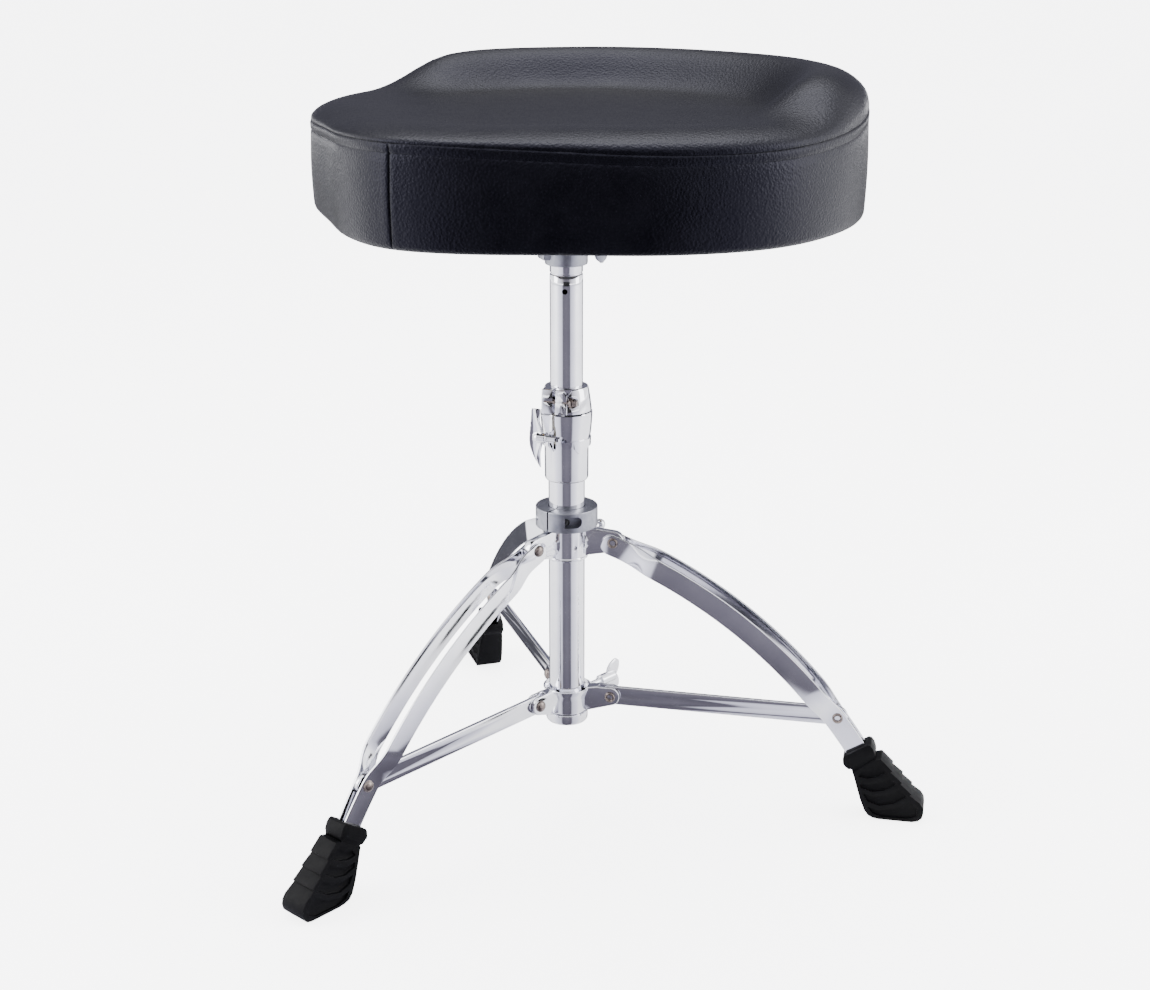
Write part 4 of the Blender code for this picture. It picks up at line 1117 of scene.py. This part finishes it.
# The height wing's leaf, from its lower tip to its upper end: edges and crease along the screw's axis
LEAF_LOW, LEAF_HIGH = -24.0, 23.0
LEAF_OUTER = ((-24.0, 11.2), (-22.0, 12.8), (-17.0, 15.9), (-12.0, 18.1), (-7.0, 19.6), (-2.0, 20.1),
              (3.0, 19.8), (12.0, 18.9), (23.0, 18.1))
LEAF_CREASE = ((-24.0, 10.9), (-21.0, 12.6), (-16.0, 14.0), (-10.0, 12.3), (0.0, 8.8), (8.8, 10.9),
               (16.0, 13.7), (23.0, 15.0))
LEAF_INNER = ((-24.0, 10.6), (-20.0, 10.9), (-13.0, 11.2), (-6.7, 9.8), (0.0, 7.9), (6.7, 9.8), (13.0, 11.4),
              (23.0, 11.0))


def make_height_wing(pose):
    """The height clamp's wing screw: a hub with one broad leaf across it, creased and hollow on its face."""
    core = turned("height_wing_screw_cast", [(0.3, -1.4), (2.3, -1.4), (2.3, 6.4), (3.7, 6.4), (4.2, 7.0),
                                             (4.2, 13.6), (3.4, 15.6), (2.0, 16.6), (0.3, 16.8)], 40)
    rings = []
    for step in range(48):
        x = lerp(LEAF_LOW, LEAF_HIGH, step / 47.0)
        outer, crease, inner = (smoothed(table, x, 1.6) for table in (LEAF_OUTER, LEAF_CREASE, LEAF_INNER))
        swell = 1.0 - 0.45 * (abs(x) / 24.0) ** 2
        rings.append([(x, deep * swell, z) for z, deep in
                      ((outer, -1.2), (lerp(outer, crease, 0.3), -0.5), (lerp(outer, crease, 0.7), -0.9),
                       (crease, -2.3), (lerp(crease, inner, 0.5), -1.5), (inner, -0.4), (inner, 0.6),
                       (crease, 1.2), (lerp(outer, crease, 0.5), 1.4), (outer, 0.3))])
    weld(core, lofted("leaf", rings))
    cast(core, 3)
    finish_piece(moved(core, pose), CHROME, "height_wing", "chrome", "height_wing_screw", angle=50)


def make_lock():
    """The split memory lock on the post, with its key bolt in a faceted recess."""
    body = clamp_body("memory_lock_casting",
                      [(0.3, 320.5), (19.2, 320.5), (19.6, 320.9), (19.55, 322.4), (18.6, 330.0),
                       (17.3, 338.2), (16.6, 339.6), (15.6, 340.0), (0.3, 340.0)], (320.6, EAR_FACE),
                      (339.8, 17.4), 1.0)
    cut(body, rod("bore", 12.95, 310, 350, ROUND))
    cut_slit(body, 310, 350)
    bolt_place = about_z(EAR_AZIMUTH) @ at(*LOCK_BOLT) @ ACROSS
    cut(body, rod("recess", 4.3, 11.6, 40.0, 6), bolt_place)
    notch = plate("notch", [(0, 334.8), (3.4, 338.8), (2.2, 343.0), (-2.2, 343.0), (-3.4, 338.8)], 3.6)
    cut(body, notch, facing(-86, 17.6))
    cut(body, box("line", (14.0, -0.35, 322.0), (24.0, 0.35, 336.5)), about_z(-88))
    cut(body, rod("vent", 2.3, 15.0, 26.0, 32), at(0, 0, 320.6) @ pointing(-103.5))
    cut(body, rod("bolt_hole", 2.2, -8.3, 14.0), bolt_place)
    rounded(body, 0.35, 3, 38)
    finish_piece(moved(body, on_axis()), CHROME, "lock", "chrome", "memory_lock", angle=32)
    bolt = turned("key_bolt", [(0.3, -8.0), (1.9, -8.0), (1.9, 12.6), (3.8, 12.6), (3.9, 12.9), (3.9, 13.9),
                               (3.7, 14.2), (0.3, 14.2)], 40)
    weld(bolt, rounded(box("head", (-2.3, -2.3, 13.8), (2.3, 2.3, 18.2)), 0.4, 3, 20))
    moved(bolt, on_axis() @ bolt_place)
    finish_piece(bolt, RIVET, "lock", "zinc_steel", "memory_lock_bolt", angle=30)


def make_receiver():
    """The casting under the seat, its bolts, and its wing screw."""
    body = turned("receiver_casting",
                  [(0.3, 434.0), (15.2, 434.0), (16.0, 434.4), (16.3, 435.2), (16.5, 448.0), (17.2, 458.0),
                   (19.0, 464.5), (23.0, 468.6), (28.0, 470.2), (28.0, 472.0), (0.3, 472.0)], ROUND)
    corners = (-50, -50, 469.6), (50, 50, 475.1)
    flange = rounded(box("flange", *corners), 9.0, 8, 60)
    combine(flange, box("keep", *corners), "INTERSECT")
    weld(body, flange)
    for azimuth, half, low, far in ((200, 7.0, 438.5, 20.8), (110, 3.0, 446.0, 19.6),
                                    (290, 3.0, 446.0, 19.6)):
        rib = rounded(box("rib", (10.0, -half, low), (far, half, 471.0)), 1.6, 4, 20)
        weld(body, rib, about_z(azimuth - SEAT_AZIMUTH))
    screw_place = at(0, 0, RECEIVER_WING_Z) @ pointing(RECEIVER_WING_AZIMUTH - SEAT_AZIMUTH)
    boss = turned("boss", [(0.3, 12.0), (10.4, 12.0), (9.4, 17.0), (9.0, 20.0), (9.0, 25.4), (8.4, 26.0),
                           (0.3, 26.0)], 64)
    weld(body, boss, screw_place)
    cut(body, rod("bore", 14.5, 420, 469.9, ROUND))
    cut(body, rod("hole", 3.1, 10, 40), screw_place)
    rounded(body, 0.5, 3, 38)
    finish_piece(moved(body, SEAT_TURN), SATIN, "seat", "satin_casting", "seat_receiver", angle=32)
    screw = wing("receiver_wing_cast", 16.5, 11.5, 30.0, 1.2, (5.0, 26.4, 32.8), (2.8, 13.1))
    moved(screw, SEAT_TURN @ screw_place)
    finish_piece(screw, SATIN, "receiver_wing", "satin_casting", "receiver_wing_screw", angle=50)
    signs = ((1, 1), (1, -1), (-1, 1), (-1, -1))
    for number, (x, y) in enumerate(signs, 1):
        bolt = turned(f"receiver_bolt_{number}",
                      [(0.3, 466.6), (1.9, 466.5), (2.0, 464.9), (3.6, 464.9), (4.9, 465.3), (6.0, 466.8),
                       (6.4, 468.4), (6.4, 469.2), (3.0, 469.2), (3.0, 485.6), (0.3, 486.0)], 40)
        moved(bolt, SEAT_TURN @ at(x * RECEIVER_BOLT_AT, y * RECEIVER_BOLT_AT, 0))
        finish_piece(bolt, RIVET, "seat", "zinc_steel", f"receiver_bolt_{number}", angle=32)


# ---------------------------------------------------------------- legs

def on_arc(angle, radius):
    """A point of a leg's upright plane at an angle and radius on its arc."""
    x, y = polar(radius, angle)
    return ARC_R + x, ARC_Z + y


def bar_ring(angle, half, across, thick, side):
    """A bar's section with rounded edges."""
    corner = min(0.7, half * 0.5)
    ring = []
    for cx, cy, start in ((half - corner, thick / 2 - corner, 0), (-half + corner, thick / 2 - corner, 90),
                          (-half + corner, -thick / 2 + corner, 180), (half - corner, -thick / 2 + corner,
                                                                       270)):
        for u, v in arc_points(cx, cy, corner, start, start + 90, 3):
            r, z = on_arc(angle, ARC_RADIUS + u)
            ring.append((r, side * (across + v), z))
    return ring


def make_bar(number, azimuth, side, word):
    """One pressed bar: its round end lies over the hinge, and jogs spread it from its twin."""
    degree = math.degrees(1.0 / ARC_RADIUS)
    stations = []
    for k in (86, 80, 72, 64, 56, 48, 40, 32, 24, 16, 8):
        half, past = polar(BAR_HALF, k)
        stations.append((BAR_TOP_ANGLE + past * degree, half))
    angle = BAR_TOP_ANGLE
    while angle > BAR_FOOT_ANGLE:
        stations.append((angle, BAR_HALF))
        angle -= 0.45
    stations.append((BAR_FOOT_ANGLE, BAR_HALF))
    rings = [bar_ring(a, half, smoothed(BAR_SPREAD, a, 0.9) - BAR_THICK / 2, BAR_THICK, side)
             for a, half in stations]
    made = moved(lofted(f"leg_{number}_{word}_pressed_bar", rings), on_axis(azimuth))
    finish_piece(made, CHROME, f"leg_{number}", "chrome", f"leg_{number}_{word}_bar", angle=25)


def make_strut(number, azimuth):
    """A flat bar with round ends, from the lower hub's lug to the leg."""
    length = math.hypot(OUTER_R - INNER_R, OUTER_Z - INNER_Z)
    slope = math.degrees(math.atan2(OUTER_Z - INNER_Z, OUTER_R - INNER_R))
    outline = arc_points(length, 0, STRUT_HALF, -90, 90, 32) + arc_points(0, 0, STRUT_HALF, 90, 270, 32)
    made = plate(f"strut_{number}_bar", outline, STRUT_THICK / 2)
    for x in (0, length):
        cut(made, rod("hole", 2.7, -10, 10), at(x, 0, 0))
    rounded(made, 0.5)
    moved(made, leg_frame(azimuth, INNER_R, INNER_Z) @ about_y(-slope) @ UPRIGHT)
    finish_piece(made, CHROME, f"strut_{number}", "chrome", f"strut_{number}", angle=30)


# The boot's side outline, radius and height, from the collar down the outer face and back under the sole
BOOT = ((244.2, 62.8), (246.6, 62.2), (248.6, 59.6), (249.9, 56.2), (250.6, 53.4), (250.4, 51.4),
        (250.0, 50.4), (255.2, 51.6), (264.4, 42.6), (263.2, 41.4), (272.4, 33.8), (271.4, 32.4),
        (280.2, 25.0), (279.2, 23.6), (287.6, 17.6), (290.0, 13.6), (290.6, 9.4), (289.6, 5.2), (286.6, 1.8),
        (282.0, 0.2), (276.0, 0.0), (256.0, 0.0), (251.0, 1.0), (247.4, 3.4), (244.4, 7.4), (240.6, 16.6),
        (237.6, 26.0), (235.2, 34.0), (233.6, 38.4), (232.6, 40.6), (230.0, 40.4), (227.4, 42.2),
        (225.7, 45.2), (225.3, 48.6), (226.6, 51.4), (228.6, 52.6))
# Side panels between the ribs: corner points (radius, height), the outer end first
PANELS = (
    ((254.0, 46.2), (259.4, 40.6), (252.8, 36.6), (245.6, 34.6), (238.6, 35.4), (240.2, 39.8), (247.0, 41.4)),
    ((262.8, 37.0), (267.8, 31.6), (259.4, 26.0), (250.0, 23.8), (240.4, 26.4), (239.6, 30.4), (248.0, 29.8),
     (256.6, 32.6)),
    ((271.4, 28.0), (276.4, 22.0), (267.0, 15.6), (256.0, 12.6), (246.4, 15.4), (242.6, 21.6), (252.0, 20.0),
     (262.6, 22.6)),
    ((280.0, 18.4), (285.6, 12.6), (285.2, 6.6), (279.0, 3.6), (258.0, 3.0), (250.4, 5.6), (247.0, 10.8),
     (256.0, 8.6), (268.0, 11.4)))
WAIST = ((224.0, 41.0), (235.2, 39.6), (252.6, 53.0), (250.6, 54.6), (234.6, 43.8), (226.0, 43.4))
# Half the boot's width by height: widest near the sole, waisted under the collar
BOOT_BLANK = 12.0
BOOT_HALF = ((0.0, 10.2), (3.0, 11.8), (10.0, 12.0), (34.0, 10.4), (44.0, 9.2), (49.0, 8.6), (52.0, 9.2),
             (63.0, 8.8))


def make_foot(number, azimuth):
    """The moulded boot: collar, shingled outer face, curved ribs on both sides, round sole."""
    boot = plate(f"leg_{number}_rubber_boot", BOOT, BOOT_BLANK)
    for side in (1, -1):
        for panel in PANELS:
            cut(boot, rounded(plate("panel", panel, 2.4), 0.5, 2, 20), at(0, 0, side * 12.1))
    for side in (1, -1):
        cut(boot, plate("waist", WAIST, 3.0), at(0, 0, side * 13.8))
    rounded(boot, 1.0, 3, 35)
    for vert in boot.data.vertices:
        vert.co.z *= between(BOOT_HALF, vert.co.y / MM) / BOOT_BLANK
    moved(boot, UPRIGHT)
    pocket = [bar_ring(angle, 8.85, 0.0, 9.5, 1) for angle in (37.2, 35.0, 33.0, 31.0, 29.4)]
    cut(boot, lofted("pocket", pocket))
    moved(boot, on_axis(azimuth))
    finish_piece(boot, RUBBER, f"leg_{number}", "rubber", f"leg_{number}_foot", angle=40)


def make_leg(number, azimuth):
    """Two bars and their rivets, the foot and the strut."""
    for side, word in ((1, "left"), (-1, "right")):
        make_bar(number, azimuth, side, word)
    top, outer = between(BAR_SPREAD, BAR_TOP_ANGLE) + 0.1, between(BAR_SPREAD, OUTER_RIVET_ANGLE)
    hinge = rivet(f"hinge_rivet_{number}", -top, top)
    dome = rivet(f"outer_rivet_dome_{number}", outer - 2.0, outer + 0.1, roll=False)
    tail = rivet(f"outer_rivet_tail_{number}", -outer - 0.1, -outer + 2.0, dome=False)
    for made, r, z, part in ((hinge, HINGE_R, HINGE_Z, "hinge_rivet"),
                             (dome, OUTER_R, OUTER_Z, "strut_rivet_dome"),
                             (tail, OUTER_R, OUTER_Z, "strut_rivet_tail")):
        moved(made, leg_frame(azimuth, r, z) @ ACROSS)
        finish_piece(made, RIVET, f"leg_{number}", "zinc_steel", f"leg_{number}_{part}")
    make_foot(number, azimuth)
    make_strut(number, azimuth)


# ---------------------------------------------------------------- put together

make_seat()
make_column()
make_upper_hub()
make_lower_hub()
make_collar()
make_clamp()
make_lock()
make_receiver()
for leg_number, leg_azimuth in enumerate(LEG_AZIMUTHS, 1):
    make_leg(leg_number, leg_azimuth)
# The board and the receiver's bush keep their own shapes
for kept_name, kept_finish, kept_slot in (("seat_base_board", PLYWOOD, "plywood"),
                                          ("receiver_bush", NYLON, "nylon")):
    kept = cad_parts[kept_name]
    kept.data.materials.clear()
    kept.data.materials.append(kept_finish)

set_world()
set_lights()
set_camera()
set_floor()
set_cards()
